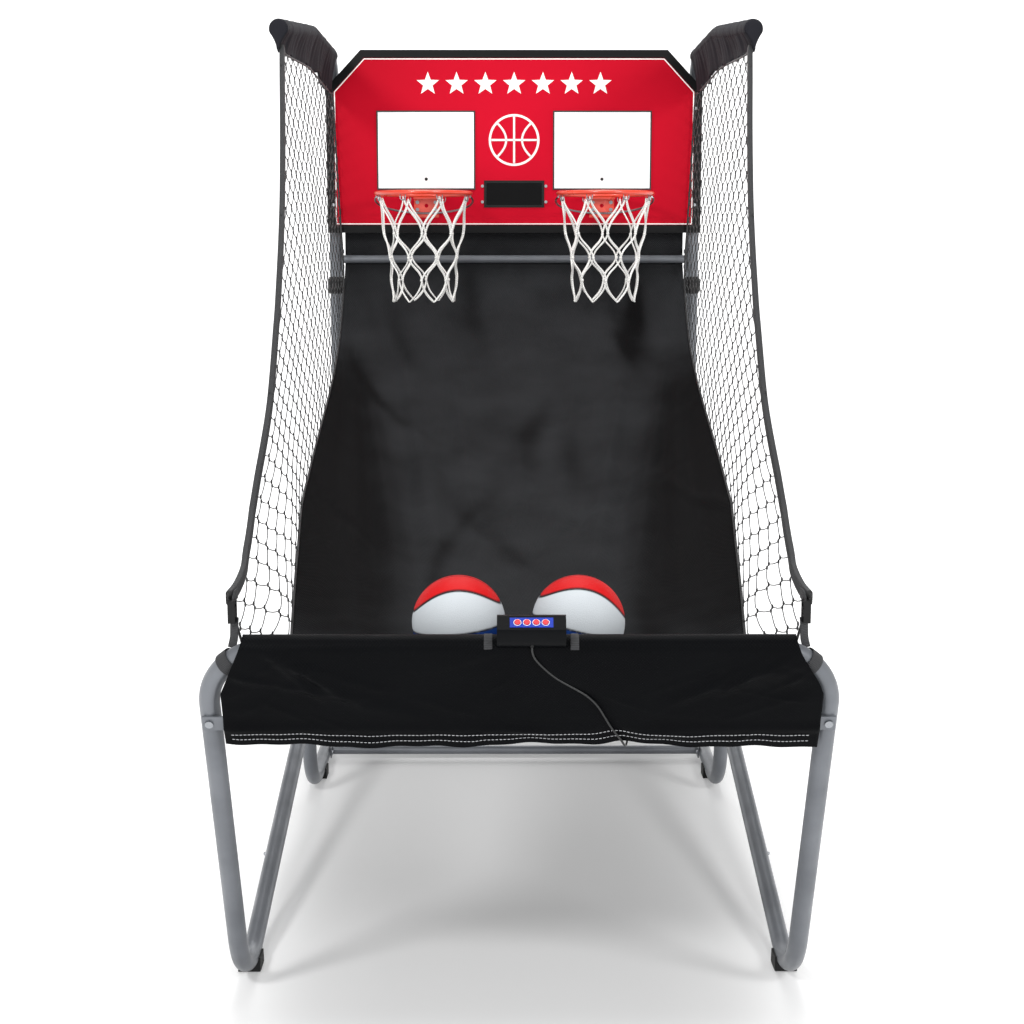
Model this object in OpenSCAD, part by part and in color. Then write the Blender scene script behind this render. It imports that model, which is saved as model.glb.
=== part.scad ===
// Folding two-player basketball hoop machine.
// Frame: origin at the middle of the footprint on the floor, +Z up,
// the players stand at the -Y end and the backboard is at the +Y end.

/* [Overall] */
// Distance between the centre lines of the two side frames
frame_w = 1116; // [1000:1:1340]
// Overall length, from the controller to the upright collars
overall_l = 2462; // [2200:1:2960]
// Overall height, to the top of the arm sleeves
overall_h = 2090; // [1950:1:2500]

/* [Tubes] */
// Outer diameter of the main frame tube
tube_d = 38; // [34:0.5:42]
// Wall of the main frame tube
tube_wall = 1.6; // [1.2:0.1:2.4]
// Diameter of the two cross tubes
brace_d = 25; // [20:0.5:30]

/* [Front frame] */
// Height of the front crossbar axis
bar_h = 790; // [720:1:900]
// Bend radius where the crossbar turns down into the legs
corner_r = 125; // [90:1:150]
// Bend radius of the front feet
foot_bend_r = 170; // [120:1:200]
// Distance from the crossbar back to the point where the feet touch the floor
foot_reach = 427; // [350:1:520]
// Distance down the leg from the crossbar to the swaged joint
leg_seam = 486; // [400:1:580]
// Distance down the leg from the crossbar to the stretcher bar
stretcher_drop = 152; // [140:1:200]

/* [Rear frame] */
// Distance from the pivot posts to the uprights
base_l = 917; // [700:1:1100]
// Bend radius of the rear base tubes
base_bend_r = 150; // [100:1:160]
// Height of the folding pivot
pivot_h = 280; // [265:1:340]
// Height of the joint between each base tube and its upright
base_seam_h = 420; // [380:1:600]
// Height of the black collars on the uprights
collar_h = 1375; // [1200:1:1450]
// Bend radius between the uprights and the arms
arm_bend_r = 110; // [80:1:140]
// Level run of each arm in front of the uprights
arm_level = 565; // [400:1:650]
// Sloping run of each arm beyond its level run
arm_slope_l = 640; // [400:1:700]
// Fall of the sloping run in degrees
arm_droop = 6.1; // [0:0.1:10]

/* [Backboard] */
// Height of the backboard
board_h = 550; // [480:1:600]
// Thickness of the backboard panel
board_t = 14; // [9:0.5:19]
// Sideways size of the clipped top corners
clip_x = 108; // [60:1:140]
// Upright size of the clipped top corners
clip_z = 114; // [60:1:140]
// Distance of each rim centre from the middle
rim_x = 271; // [220:1:300]
// Radius of each rim to the middle of its rod
rim_r = 140; // [120:1:150]
// Diameter of the rim rod
rim_rod = 13; // [10:0.5:16]
// Height of the rims above the lower edge of the backboard
rim_above = 113; // [95:1:125]
// Distance of the rim centres in front of the backboard
rim_reach = 190; // [175:1:230]
// Length of the hoop nets
net_l = 320; // [250:1:360]

/* [Fabric] */
// Thickness of the woven fabric
cloth_t = 3; // [2:0.1:4]
// Half width of the ramp and the trough
ramp_half = 500; // [400:1:500]
// Diameter of the balls
ball_d = 178; // [150:1:180]

/* [Controller] */
// Length of the controller case
case_l = 121; // [110:1:150]
// Radius of the controller case
case_r = 29; // [28:0.1:31]
// Diameter of the four buttons
button_d = 10; // [8:0.1:11]
// Spacing of the four buttons
button_pitch = 16.4; // [14:0.1:20]

/* [Hidden] */
$fn = 64;

half_w = frame_w / 2;
tube_r = tube_d / 2;
gap = 0.3;                        // running clearance between soft and hard pieces
sleeve_gap = 0.8;
shoe_play = 0.05;
pad_t = 8;                        // rubber under each tube
run_z = tube_r + pad_t;           // axis of the tubes that lie on the floor
board_w = frame_w + tube_d;
collar_r = tube_r + 8;
case_up = 32;                     // case axis above the crossbar axis
case_out = 10;                    // case axis in front of the crossbar axis
bar_y = -overall_l / 2 + case_out + case_r;
upright_y = overall_l / 2 - collar_r;
post_y = upright_y - base_l;
foot_y = bar_y + foot_reach;
pivot_y = post_y - 47;
arm_z = overall_h - tube_r - sleeve_gap - cloth_t;
knee_y = upright_y - arm_level;

// Tangents from the crossbar and from the pivot to the circle of the foot bend
foot_c = [foot_y, run_z + foot_bend_r];
leg_v = foot_c - [bar_y, bar_h];
leg_dir = atan2(leg_v[1], leg_v[0]) - asin(foot_bend_r / norm(leg_v));
lean = 90 + leg_dir;              // lean of the front legs from upright
leg_l = sqrt(pow(norm(leg_v), 2) - pow(foot_bend_r, 2));
rail_v = foot_c - [pivot_y, pivot_h];
rail_rise = atan2(rail_v[1], rail_v[0]) + asin(foot_bend_r / norm(rail_v)) + 180;
rise = rail_rise > 180 ? rail_rise - 360 : rail_rise;
rail_l = sqrt(pow(norm(rail_v), 2) - pow(foot_bend_r, 2));
bar_tail = 60;                    // straight run between the crossbar and its corner bend
foot_tail = 300;                  // straight run of the foot tube behind its bend
weld = 0.01;                      // butt weld at the end of a slanted bend, in degrees
spigot_l = 50;                    // swaged end of a tube inside the next one
spigot_play = 0.1;
rail_over = 12;                   // rail beyond its pivot

pivot_r = 6;
plate_t = 3;
plate_gap = 0.4;                  // pivot plate to the side of a tube
clamp_t = 12;
board_back = upright_y - tube_r - clamp_t;
board_front = board_back - board_t;
board_top = overall_h - 3;
board_low = board_top - board_h;
rim_z = board_low + rim_above;
rim_y = board_front - rim_reach;
bar2_z = board_low - 81;          // axis of the upper crossbar
target_w = 295;
target_h = 230;
target_z = board_low + 135;       // lower edge of the targets
score_z = board_low + 118;        // middle of the scoreboard window
score_w = 172;
score_h = 68;
sensor_up = 28;

lens_t = 3;
skin_r = tube_r + gap;            // inner radius of cloth round the crossbar
wrap_t = 2;
case_bore = skin_r + wrap_t + gap;
case_wall = 2.5;
face_dir = 130;                   // direction of the label face, from +Y
face_d = 24.5;                    // label face from the case axis
split_d = -3;                     // parting line from the case axis
case_x = 21;
label_l = 76;
label_h = 21;
label_t = 0.8;
button_travel = 1.5;
half_apron = 528;
skirt_y = 26;                     // front of the skirt from the leg plane
skirt_l = 195;
pocket_half = 22;
bar_flat_h = 30;
bar_flat_t = 4;
net_in = 29;                      // side nets from the side frames, at half height
net_x = half_w - net_in;
net_tilt = 2.35;
net_t = 3;
buckle_y = 27;                    // buckle behind the crossbar
buckle_z = 62;
strap_at = 41;                    // place of the strap round the corner bend

trough_low = -96;                 // trough floor below the crossbar axis
ball_y = 236;                     // balls behind the crossbar
ball_x = 114;
ramp_start = 256;                 // ramp cloth begins this far behind the crossbar

cord_d = 4;
cord_route = [[22, -1219, 797], [22, -1219, 788], [26, -1217, 777], [34, -1212, 766],
    [44, -1207, 755], [54, -1202, 745], [66, -1198, 735], [78, -1195, 727], [91, -1192, 719],
    [104, -1189, 711], [118, -1186, 702], [128, -1183, 693], [137, -1179, 683],
    [144, -1175, 673], [150, -1171, 662], [156, -1166, 651], [162, -1162, 640],
    [169, -1157, 629], [177, -1153, 618], [185, -1149, 607], [190, -1145, 598],
    [193, -1139, 593], [195, -1132, 594], [197, -1130, 601], [198, -1131, 610],
    [198, -1134, 619], [198, -1137, 626]];
cord_from = [-1192, 790];         // crossbar axis that the route is measured against

black = "#17181a";
grey = "#8b9094";
red = "#c8102e";
orange = "#e8452c";
steel = "#b9bcc0";
white = "#f2f2f0";

// ---- Helpers ----

// Extrudes a side view (Y, Z) along X, centred on X = 0
module side_view(l) {
    translate([-l / 2, 0, 0]) rotate([90, 0, 90]) linear_extrude(l) children();
}

module ring2d(r, t) {
    difference() {
        circle(r);
        circle(r - t);
    }
}

// Straight tube from point p to point q of a side view, in the plane X = x
module run(x, p, q, r = tube_r, t = tube_wall) {
    v = q - p;
    translate([x, p[0], p[1]])
        rotate([atan2(-v[0], v[1]), 0, 0])
            linear_extrude(norm(v)) ring2d(r, t);
}

// Swaged end of a tube, from just inside the tube to the tip of the spigot
module swage() {
    translate([0, 0, -6]) linear_extrude(spigot_l + 6)
        ring2d(tube_r - tube_wall - spigot_play, tube_wall);
}

// Bent tube in the plane X = x round the centre c, from the angle a0 through da
module bend(x, c, r, a0, da) {
    translate([x, c[0], c[1]]) rotate([90, 0, 90]) rotate([0, 0, a0])
        rotate_extrude(angle = da) translate([r, 0]) ring2d(tube_r, tube_wall);
}

// Puts its children in the frame of the front legs: origin on the crossbar axis, legs along -Z
module leg_frame() {
    translate([0, bar_y, bar_h]) rotate([lean, 0, 0]) children();
}

// Puts its children on the rail: origin at the end of the foot bend, rail along +Z
module rail_frame(x) {
    t = foot_c + foot_bend_r * [cos(rise - 90), sin(rise - 90)];
    translate([x, t[0], t[1]]) rotate([rise - 90, 0, 0]) children();
}

module both_sides() {
    children();
    mirror([1, 0, 0]) children();
}

// Round-headed screw whose head rests on the plane Z = 0
module screw(head_r, head_h, shank_r, shank_l) {
    cylinder(r = head_r, h = head_h);
    translate([0, 0, -shank_l]) cylinder(r = shank_r, h = shank_l + head_h / 2);
}

// ---- Rear frame ----

module base_tube(x) {
    color(grey) {
        run(x, [post_y, run_z + base_bend_r], [post_y, pivot_h + 20]);
        bend(x, [post_y + base_bend_r, run_z + base_bend_r], base_bend_r, 180, 90);
        run(x, [post_y + base_bend_r, run_z], [upright_y - base_bend_r, run_z]);
        bend(x, [upright_y - base_bend_r, run_z + base_bend_r], base_bend_r, 270, 90);
        run(x, [upright_y, run_z + base_bend_r], [upright_y, base_seam_h]);
        translate([x, upright_y, base_seam_h]) swage();
    }
}

module uprights() {
    color(grey) both_sides() {
        run(half_w, [upright_y, base_seam_h], [upright_y, collar_h]);
        translate([half_w, upright_y, collar_h]) swage();
    }
}

// The knee is a slight bend; the sloping run starts where it ends
knee_r = 200;
knee_end = [knee_y - knee_r * sin(arm_droop), arm_z - knee_r * (1 - cos(arm_droop))];
tip = knee_end - arm_slope_l * [cos(arm_droop), sin(arm_droop)];

module arm_tube(x) {
    color(grey) {
        run(x, [upright_y, collar_h], [upright_y, arm_z - arm_bend_r]);
        bend(x, [upright_y - arm_bend_r, arm_z - arm_bend_r], arm_bend_r, 0, 90);
        run(x, [upright_y - arm_bend_r, arm_z], [knee_y, arm_z]);
        bend(x, [knee_y, arm_z - knee_r], knee_r, 90, arm_droop - weld);
        run(x, knee_end, tip);
    }
}

module arm_caps() {
    color(black) both_sides()
        translate([half_w, tip[0], tip[1]]) rotate([90 + arm_droop, 0, 0]) {
            cylinder(r = tube_r, h = 4);
            translate([0, 0, -20]) cylinder(r = tube_r - tube_wall - spigot_play, h = 21);
        }
}

module upright_collars() {
    color(black) both_sides()
        translate([half_w, upright_y, collar_h - 26]) difference() {
            union() {
                cylinder(r = tube_r + 4, h = 52);
                translate([0, 0, 6]) cylinder(r = collar_r, h = 40);
            }
            translate([0, 0, -1]) cylinder(r = tube_r, h = 54);
        }
}

// Cross tube between the side frames, with a flat foot at each end and two bolts in it
module cross_brace(y, z, tilt) {
    foot_x = half_w - tube_r - plate_t;
    translate([0, y, z]) {
        side_view(2 * foot_x) ring2d(brace_d / 2, 1.5);
        both_sides() translate([foot_x + plate_t / 2, 0, 0]) rotate([tilt, 0, 0])
            difference() {
                cube([plate_t, 30, 66], center = true);
                brace_holes() rotate([0, 90, 0]) cylinder(r = 3, h = 3 * plate_t, center = true);
            }
    }
}

module brace_holes() {
    for (s = [-1, 1]) translate([0, 0, s * 24]) children();
}

module brace_bolts(y, z, tilt) {
    translate([0, y, z]) both_sides()
        translate([half_w - tube_r - plate_t, 0, 0]) rotate([tilt, 0, 0])
            brace_holes() rotate([0, -90, 0]) screw(6, 4, 3, plate_t);
}

floor_brace_y = post_y + 373;

module floor_crossbar() color(grey) cross_brace(floor_brace_y, run_z + 3, 90);
module upper_crossbar() color(grey) cross_brace(upright_y, bar2_z, 0);

module frame_bolts() {
    color(steel) {
        brace_bolts(floor_brace_y, run_z + 3, 90);
        brace_bolts(upright_y, bar2_z, 0);
    }
}

// Rubber shoe under a floor run, clipped round the lower half of the tube
module rear_feet() {
    color(black) both_sides() for (y = [post_y + 223, upright_y - 190])
        translate([half_w, y, 0]) side_shoe();
}

module side_shoe() {
    rotate([90, 0, 0]) linear_extrude(54, center = true) difference() {
        translate([-tube_r - 4, 0]) square([tube_d + 8, run_z + 2]);
        translate([0, run_z]) circle(tube_r + shoe_play);
    }
}

module pivot_brackets() {
    color(steel) both_sides() for (s = [-1, 1])
        translate([half_w + s * (tube_r + plate_gap + plate_t / 2), 0, 0])
            side_view(plate_t) difference() {
                union() {
                    translate([pivot_y, pivot_h]) circle(20);
                    translate([pivot_y, pivot_h - 20]) square([post_y - pivot_y + 12, 40]);
                }
                translate([pivot_y, pivot_h]) circle(pivot_r);
            }
}

module pivot_bolts() {
    reach = tube_r + plate_gap + plate_t;
    color(steel) both_sides() translate([half_w, pivot_y, pivot_h]) rotate([0, 90, 0]) {
        cylinder(r = pivot_r, h = 2 * reach + 1, center = true);
        translate([0, 0, reach]) cylinder(r = 10, h = 6);
        translate([0, 0, -reach - 8]) cylinder(r = 10, h = 8, $fn = 6);
    }
}

// ---- Backboard ----

edge_t = 2;
edge_lip = 24;

module board_outline(inset) {
    w = board_w / 2 - inset;
    k = inset * 0.414;
    polygon([[-w, board_low + inset], [w, board_low + inset],
        [w, board_top - clip_z - k], [w - clip_x + inset - k, board_top - inset],
        [-w + clip_x - inset + k, board_top - inset], [-w, board_top - clip_z - k]]);
}

// A slab standing in the X-Z plane, from the depth y back through t
module slab(y, t) {
    translate([0, y + t, 0]) rotate([90, 0, 0]) linear_extrude(t) children();
}

module scoreboard_window(extra) {
    translate([-score_w / 2 - extra, score_z - score_h / 2 - extra])
        square([score_w + 2 * extra, score_h + 2 * extra]);
}

module backboard_panel() {
    color(red) difference() {
        slab(board_front, board_t) board_outline(edge_t);
        slab(board_front - 1, board_t + 2) scoreboard_window(0);
        both_sides() slab(board_front - 1, board_t + 2) translate([rim_x, target_z + sensor_up])
            circle(5);
        screw_places() rotate([90, 0, 0]) cylinder(r = 2.5, h = 3 * board_t, center = true);
        rim_places() rotate([90, 0, 0]) cylinder(r = 3, h = 3 * board_t, center = true);
    }
}

module backboard_edging() {
    color(black) difference() {
        slab(board_front - 1.5, board_t + 3) board_outline(0);
        slab(board_front, board_t) board_outline(edge_t);
        slab(board_front - 9, board_t + 18) board_outline(edge_lip);
        screw_places() rotate([90, 0, 0]) cylinder(r = 4.7, h = 3 * board_t, center = true);
        clamp_places() translate([-22, board_back - 1, -22]) cube([60, 10, 44]);
    }
}

module target_panels() {
    color(white) both_sides() difference() {
        slab(board_front - 3, 3) translate([rim_x - target_w / 2, target_z])
            square([target_w, target_h]);
        slab(board_front - 4, 5) translate([rim_x, target_z + sensor_up]) circle(5);
    }
}

module score_sensors() {
    color(black) both_sides() translate([rim_x, board_front - 1, target_z + sensor_up])
        rotate([-90, 0, 0]) {
            cylinder(r = 4.9, h = board_t + 1);
            translate([-15, -12, board_t + 1]) cube([30, 24, 14]);
        }
}

module scoreboard_case() {
    wall = 2.5;
    deep = 26;
    color(black) difference() {
        slab(board_back, deep) scoreboard_window(22);
        slab(board_back - 1, deep - wall + 1) scoreboard_window(22 - wall);
    }
}

module scoreboard_lens() {
    color(black) slab(board_front + 1, lens_t) scoreboard_window(0);
}

module scoreboard_circuit() {
    color("#1f5c34") {
        slab(board_back, 1.6) scoreboard_window(8);
        for (x = [-54, -24, 24, 54])
            translate([x - 12, board_front + 1 + lens_t, score_z - 20])
                cube([24, board_t - 1 - lens_t, 40]);
    }
}

clamp_zs = [board_low + 85, board_top - clip_z - 60];

module clamp_places() {
    both_sides() for (z = clamp_zs) translate([half_w, 0, z]) children();
}

module screw_places() {
    both_sides() {
        for (z = clamp_zs) translate([half_w, board_front, z]) children();
        for (s = [-1, 1]) translate([score_w / 2 + 12, board_front, score_z + s * 24]) children();
    }
}

module board_screws() {
    color(steel) screw_places() rotate([90, 0, 0]) screw(4.5, 4, 2.5, board_t);
}

module backboard_clamps() {
    color(black) clamp_places() translate([0, 0, -20]) linear_extrude(40) difference() {
        union() {
            translate([-20, board_back]) square([tube_r + 21, clamp_t + tube_r]);
            translate([0, upright_y]) circle(tube_r + 4);
        }
        translate([0, upright_y]) circle(tube_r);
    }
}

// ---- Rims ----

plate_w = 76;
plate_top = rim_z - rim_rod / 2;
plate_h = 60;

module rim(x) {
    color(orange) translate([x, rim_y, rim_z]) {
        rotate_extrude() translate([rim_r, 0]) circle(rim_rod / 2);
        for (a = [22.5:45:337.5]) rotate([0, 0, a])
            translate([rim_r - 3, 0, -18]) cylinder(r = 2, h = 16);
    }
}

module rim_places() {
    both_sides() for (sx = [-1, 1], z = [14, 36])
        translate([rim_x + sx * 28, board_front, plate_top - z]) children();
}

module rim_brackets() {
    tang = rim_reach - rim_r;
    color(orange) both_sides() difference() {
        union() {
            translate([rim_x - plate_w / 2, board_front - 4, plate_top - plate_h])
                cube([plate_w, 4, plate_h]);
            translate([rim_x - plate_w / 2, board_front - tang - 2, plate_top - 4])
                cube([plate_w, tang + 2, 4]);
        }
        rim_places() rotate([90, 0, 0]) cylinder(r = 3, h = 20, center = true);
        translate([rim_x, board_front, plate_top - 24]) rotate([90, 0, 0])
            cylinder(r = 6, h = 20, center = true);
    }
}

module rim_bolts() {
    color(steel) rim_places() translate([0, -4, 0]) rotate([90, 0, 0])
        screw(5.5, 4, 3, board_t + 4);
}

// Bent rod from both sides of a rim down to the foot of its plate
module rim_braces() {
    drop = 44;
    deep = rim_reach - 4 - 3;
    slant = norm([deep, drop]);
    arc_r = (rim_r * rim_r + slant * slant) / (2 * slant);
    ends = asin((slant - arc_r) / arc_r);
    color(orange) both_sides() translate([rim_x, rim_y, plate_top - 3])
        rotate([-atan2(drop, deep), 0, 0]) translate([0, slant - arc_r, 0])
            rotate([0, 0, -ends]) rotate_extrude(angle = 180 + 2 * ends)
                translate([arc_r, 0]) circle(3);
}

module hoop_nets() {
    top = rim_r - 3 - 2 - gap;
    side = [[top, -8], [top - 15, -0.28 * net_l], [top - 35, -0.56 * net_l],
        [top - 42, -0.81 * net_l], [top - 40, -net_l]];
    inner = [for (i = [4:-1:0]) side[i] - [2, 0]];
    color(white) both_sides() translate([rim_x, rim_y, rim_z])
        rotate_extrude() polygon(concat(side, inner));
}

// ---- Cloth on the rear frame ----

// Cloth sleeves: square in section round each arm, with a deep flat hem below
module arm_sleeves() {
    outer = tube_r + sleeve_gap + cloth_t;
    inner = tube_r + sleeve_gap;
    color(black) both_sides() translate([half_w, 0, 0]) difference() {
        union() {
            side_view(2 * outer) sleeve_side(outer, outer + 14, 8);
            side_view(2 * cloth_t) polygon([[tip[0] - 8, tip[1]], [tip[0] - 8, tip[1] - 24],
                [tip[0] + 80, tip[1] - 52], [knee_y - 100, arm_z - 100],
                [upright_y - 150, arm_z - 118], [sleeve_rear, arm_z - 96], [sleeve_rear, arm_z],
                [knee_y, arm_z]]);
        }
        side_view(2 * inner) sleeve_side(inner, inner + 14, 9);
    }
}

sleeve_rear = upright_y - 62;

// Side view of the arm grown by r, and by low under the bend at its rear end
module sleeve_side(r, low, over) {
    n = r * [sin(arm_droop), cos(arm_droop)];
    front = tip - over * [cos(arm_droop), sin(arm_droop)];
    corner = knee_y - knee_r * tan(arm_droop / 2);
    polygon([front + [-n[0], n[1]], [corner, arm_z + r], [sleeve_rear + over - 8, arm_z + r],
        [sleeve_rear + over - 8, arm_z - low], [upright_y - arm_bend_r - 10, arm_z - r],
        [corner, arm_z - r], front - [-n[0], n[1]]]);
}

module side_nets() {
    top_z = arm_z - 118;
    net_rear = board_front - 12;
    color(black) both_sides() translate([net_x, 0, (bar_h + top_z) / 2]) rotate([0, net_tilt, 0])
        translate([0, 0, -(bar_h + top_z) / 2]) side_view(net_t) polygon([
            [bar_y + 42, bar_h + 60], [bar_y + 182, bar_h + 85], [bar_y + 362, bar_h + 200],
            [bar_y + 572, bar_h + 380], [bar_y + 762, bar_h + 560], [bar_y + 952, bar_h + 810],
            [tip[0] - 90, top_z - 170], [tip[0] + 70, tip[1] - 60], [knee_y - 100, top_z + 10],
            [net_rear, top_z], [net_rear, bar2_z - 90], [knee_y + 180, ramp_pt(0.8)[1] + 20],
            [bar_y + ramp_start + 40, bar_h + trough_low + 24],
            [bar_y + 160, bar_h + trough_low + 40]]);
}

// The ramp cloth starts in the trough, rises in a slack curve to the upper crossbar
// and turns up behind it
ramp_back = upright_y + brace_d / 2 + gap;
ramp_top = bar2_z - 20;
ramp_low = bar_h + trough_low;

function ramp_pt(t) = [
    bar_y + ramp_start + t * (ramp_back - bar_y - ramp_start),
    ramp_low + (ramp_top - ramp_low) * (0.7 * t + 0.3 * pow(t, 8))];

module ramp_cloth() {
    steps = 14;
    upper = [for (i = [0:steps]) ramp_pt(i / steps)];
    under = [for (i = [steps:-1:0]) ramp_pt(i / steps) + cloth_t * [0.6 * i / steps, -1]];
    color(black) side_view(2 * ramp_half) polygon(concat(upper,
        [[ramp_back, board_low + 40], [ramp_back + cloth_t, board_low + 40]],
        [[ramp_back + cloth_t, ramp_top]], under));
}

// ---- Front frame ----

module front_crossbar() {
    l = 2 * (half_w - corner_r - bar_tail);
    color(grey) translate([0, bar_y, bar_h]) {
        side_view(l) ring2d(tube_r, tube_wall);
        both_sides() translate([l / 2, 0, 0]) rotate([0, 90, 0]) swage();
    }
}

module front_leg(side) {
    color(grey) mirror([side < 0 ? 1 : 0, 0, 0]) leg_frame() difference() {
        union() {
            translate([half_w - corner_r, 0, -corner_r]) rotate([90, 0, 0])
                rotate_extrude(angle = 90) translate([corner_r, 0]) ring2d(tube_r, tube_wall);
            translate([half_w - corner_r - bar_tail, 0, 0]) rotate([0, 90, 0])
                linear_extrude(bar_tail) ring2d(tube_r, tube_wall);
            translate([half_w, 0, -leg_seam]) linear_extrude(leg_seam - corner_r)
                ring2d(tube_r, tube_wall);
        }
        translate([half_w, 0, -stretcher_drop]) rotate([90, 0, 0])
            cylinder(r = 4, h = 3 * tube_d, center = true);
    }
}

module front_foot(side) {
    x = side * half_w;
    color(grey) {
        leg_frame() {
            translate([x, 0, -leg_l]) linear_extrude(leg_l - leg_seam)
                ring2d(tube_r, tube_wall);
            translate([x, 0, -leg_seam]) swage();
            bend(x, [foot_bend_r, -leg_l], foot_bend_r, 180, 90 + rise - lean - weld);
        }
        difference() {
            rail_frame(x) {
                linear_extrude(foot_tail) ring2d(tube_r, tube_wall);
                translate([0, 0, foot_tail]) swage();
            }
            snap_place(side) translate([0, 0, -8]) cylinder(r = 4.1, h = 22);
        }
    }
}

// Snap button axis: outward through the swaged joint of the rail
module snap_place(side) {
    rail_frame(side * half_w) translate([0, 0, foot_tail + 25])
        rotate([0, side * 90, 0]) translate([0, 0, tube_r - 7]) children();
}

module side_rail(side) {
    color(grey) difference() {
        rail_frame(side * half_w) translate([0, 0, foot_tail])
            linear_extrude(rail_l - foot_tail + rail_over) ring2d(tube_r, tube_wall);
        snap_place(side) translate([0, 0, -8]) cylinder(r = 4.1, h = 22);
        translate([side * half_w, pivot_y, pivot_h]) rotate([0, 90, 0])
            cylinder(r = pivot_r + 0.05, h = 2 * tube_d, center = true);
    }
}

module snap_button(side) {
    color(steel) snap_place(side) {
        cylinder(r = 4, h = 8);
        translate([0, 0, 8]) intersection() {
            sphere(4);
            cylinder(r = 4, h = 4);
        }
    }
}

module stretcher_bar() {
    color(grey) leg_frame() difference() {
        translate([-half_w - 12, -tube_r - bar_flat_t, -stretcher_drop - bar_flat_h / 2])
            cube([frame_w + 24, bar_flat_t, bar_flat_h]);
        both_sides() translate([half_w, 0, -stretcher_drop]) rotate([90, 0, 0])
            cylinder(r = 4, h = 3 * tube_d, center = true);
    }
}

module stretcher_bolts() {
    color(steel) leg_frame() both_sides() translate([half_w, 0, -stretcher_drop])
        rotate([90, 0, 0]) {
            translate([0, 0, tube_r + bar_flat_t]) cylinder(r = 7.5, h = 4);
            translate([0, 0, -tube_r - 7]) cylinder(r = 4, h = tube_d + bar_flat_t + 8);
            translate([0, 0, -tube_r - 6]) cylinder(r = 7.5, h = 6, $fn = 6);
        }
}

// Rubber shoes moulded to the lowest part of the foot bends
module front_feet() {
    arc = 16;
    color(black) both_sides() translate([half_w, foot_c[0], foot_c[1]]) rotate([90, 0, 90])
        rotate([0, 0, 270 - arc / 2]) rotate_extrude(angle = arc) difference() {
            translate([foot_bend_r - 2, -tube_r - 4]) square([run_z + 2, tube_d + 8]);
            translate([foot_bend_r, 0]) circle(tube_r + shoe_play);
        }
}

// ---- Cloth on the front frame ----

module apron() {
    color(black) leg_frame() difference() {
        side_view(2 * half_apron) {
            intersection() {
                ring2d(skin_r + wrap_t, wrap_t);
                translate([-40, 0]) square(40);
            }
            polygon([[-skin_r, 0], [-skin_r - wrap_t, 0],
                [-skirt_y, -stretcher_drop + pocket_half], [-skirt_y, -skirt_l],
                [-skirt_y + 2, -skirt_l], [-skirt_y + 2, -stretcher_drop + pocket_half]]);
            pocket();
        }
        // Corners cut on the slant, where the crossbar bends down
        both_sides() rotate([90, 0, 0]) linear_extrude(120, center = true)
            polygon([[half_apron - 63, 30], [half_apron + 10, 30], [half_apron + 10, -85],
                [half_apron + 2, -85]]);
    }
}

// Hem pocket round the stretcher bar
module pocket() {
    translate([-skirt_y, -stretcher_drop - pocket_half]) difference() {
        square([skirt_y - tube_r + 3, 2 * pocket_half]);
        translate([2, 3]) square([skirt_y - tube_r - 1, 2 * pocket_half - 6]);
    }
}

module trough_cloth() {
    leave = 55;                   // where the cloth leaves the crossbar, in degrees
    top = 90 + lean;
    steps = 12;
    sheet = [[130, 38], [200, 0], [ramp_start - 1, 0]];
    function at(i) = top + (leave - top) * i / steps;
    color(black) side_view(2 * ramp_half) translate([bar_y, bar_h]) polygon(concat(
        [for (i = [0:steps]) (skin_r + wrap_t) * [cos(at(i)), sin(at(i))]],
        [for (p = sheet) p + [0, trough_low]],
        [for (i = [2:-1:0]) sheet[i] + [0, trough_low - cloth_t]],
        [for (i = [steps:-1:0]) skin_r * [cos(at(i)), sin(at(i))]]));
}

// Webbing loop round each corner bend, with a tail up to the buckle
module corner_straps() {
    color(black) both_sides() {
        difference() {
            union() {
                strap_place() cylinder(r = tube_r + 3, h = 25, center = true);
                translate([half_w - 50, bar_y + buckle_y - 11, bar_h - 10])
                    cube([3, 22, buckle_z - 12]);
            }
            strap_place() cylinder(r = tube_r + 1, h = 120, center = true);
        }
    }
}

module strap_place() {
    leg_frame() translate([half_w - corner_r, 0, -corner_r]) rotate([0, strap_at, 0])
        translate([0, 0, corner_r]) rotate([0, 90, 0]) children();
}

module strap_buckles() {
    color(black) both_sides() translate([half_w - 55, bar_y + buckle_y - 13, bar_h + buckle_z - 22])
        difference() {
            cube([13, 26, 40]);
            translate([-1, 5, 28]) cube([15, 16, 6]);
        }
}

// ---- Controller ----

// Side view axes of the case: origin on the case axis, +X of the view towards the label face
module case_axes() {
    translate([bar_y - case_out, bar_h + case_up]) rotate(face_dir) children();
}

module case_round(r, face, bore) {
    difference() {
        case_axes() intersection() {
            circle(r);
            translate([-r, -r]) square([r + face, 2 * r]);
        }
        translate([bar_y, bar_h]) circle(bore);
    }
}

module case_part(from, to) {
    difference() {
        side_view(case_l) intersection() {
            case_round(case_r, face_d, case_bore);
            case_axes() translate([from, -case_r]) square([to - from, 2 * case_r]);
        }
        side_view(case_l - 2 * case_wall) intersection() {
            case_round(case_r - case_wall, face_d - case_wall, case_bore + case_wall);
            case_axes() translate([from - 1, -case_r]) square([to - from + 2, 2 * case_r]);
        }
    }
}

// Frame of the label face: origin on the face in the middle of the case, +Z outward
module face_frame() {
    translate([case_x, bar_y - case_out, bar_h + case_up])
        rotate([face_dir - 90, 0, 0]) translate([0, 0, face_d]) children();
}

module button_places() {
    for (i = [0:3]) face_frame() translate([button_x(i), 0, 0]) children();
}

function button_x(i) = (i - 1.5) * button_pitch;

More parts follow.
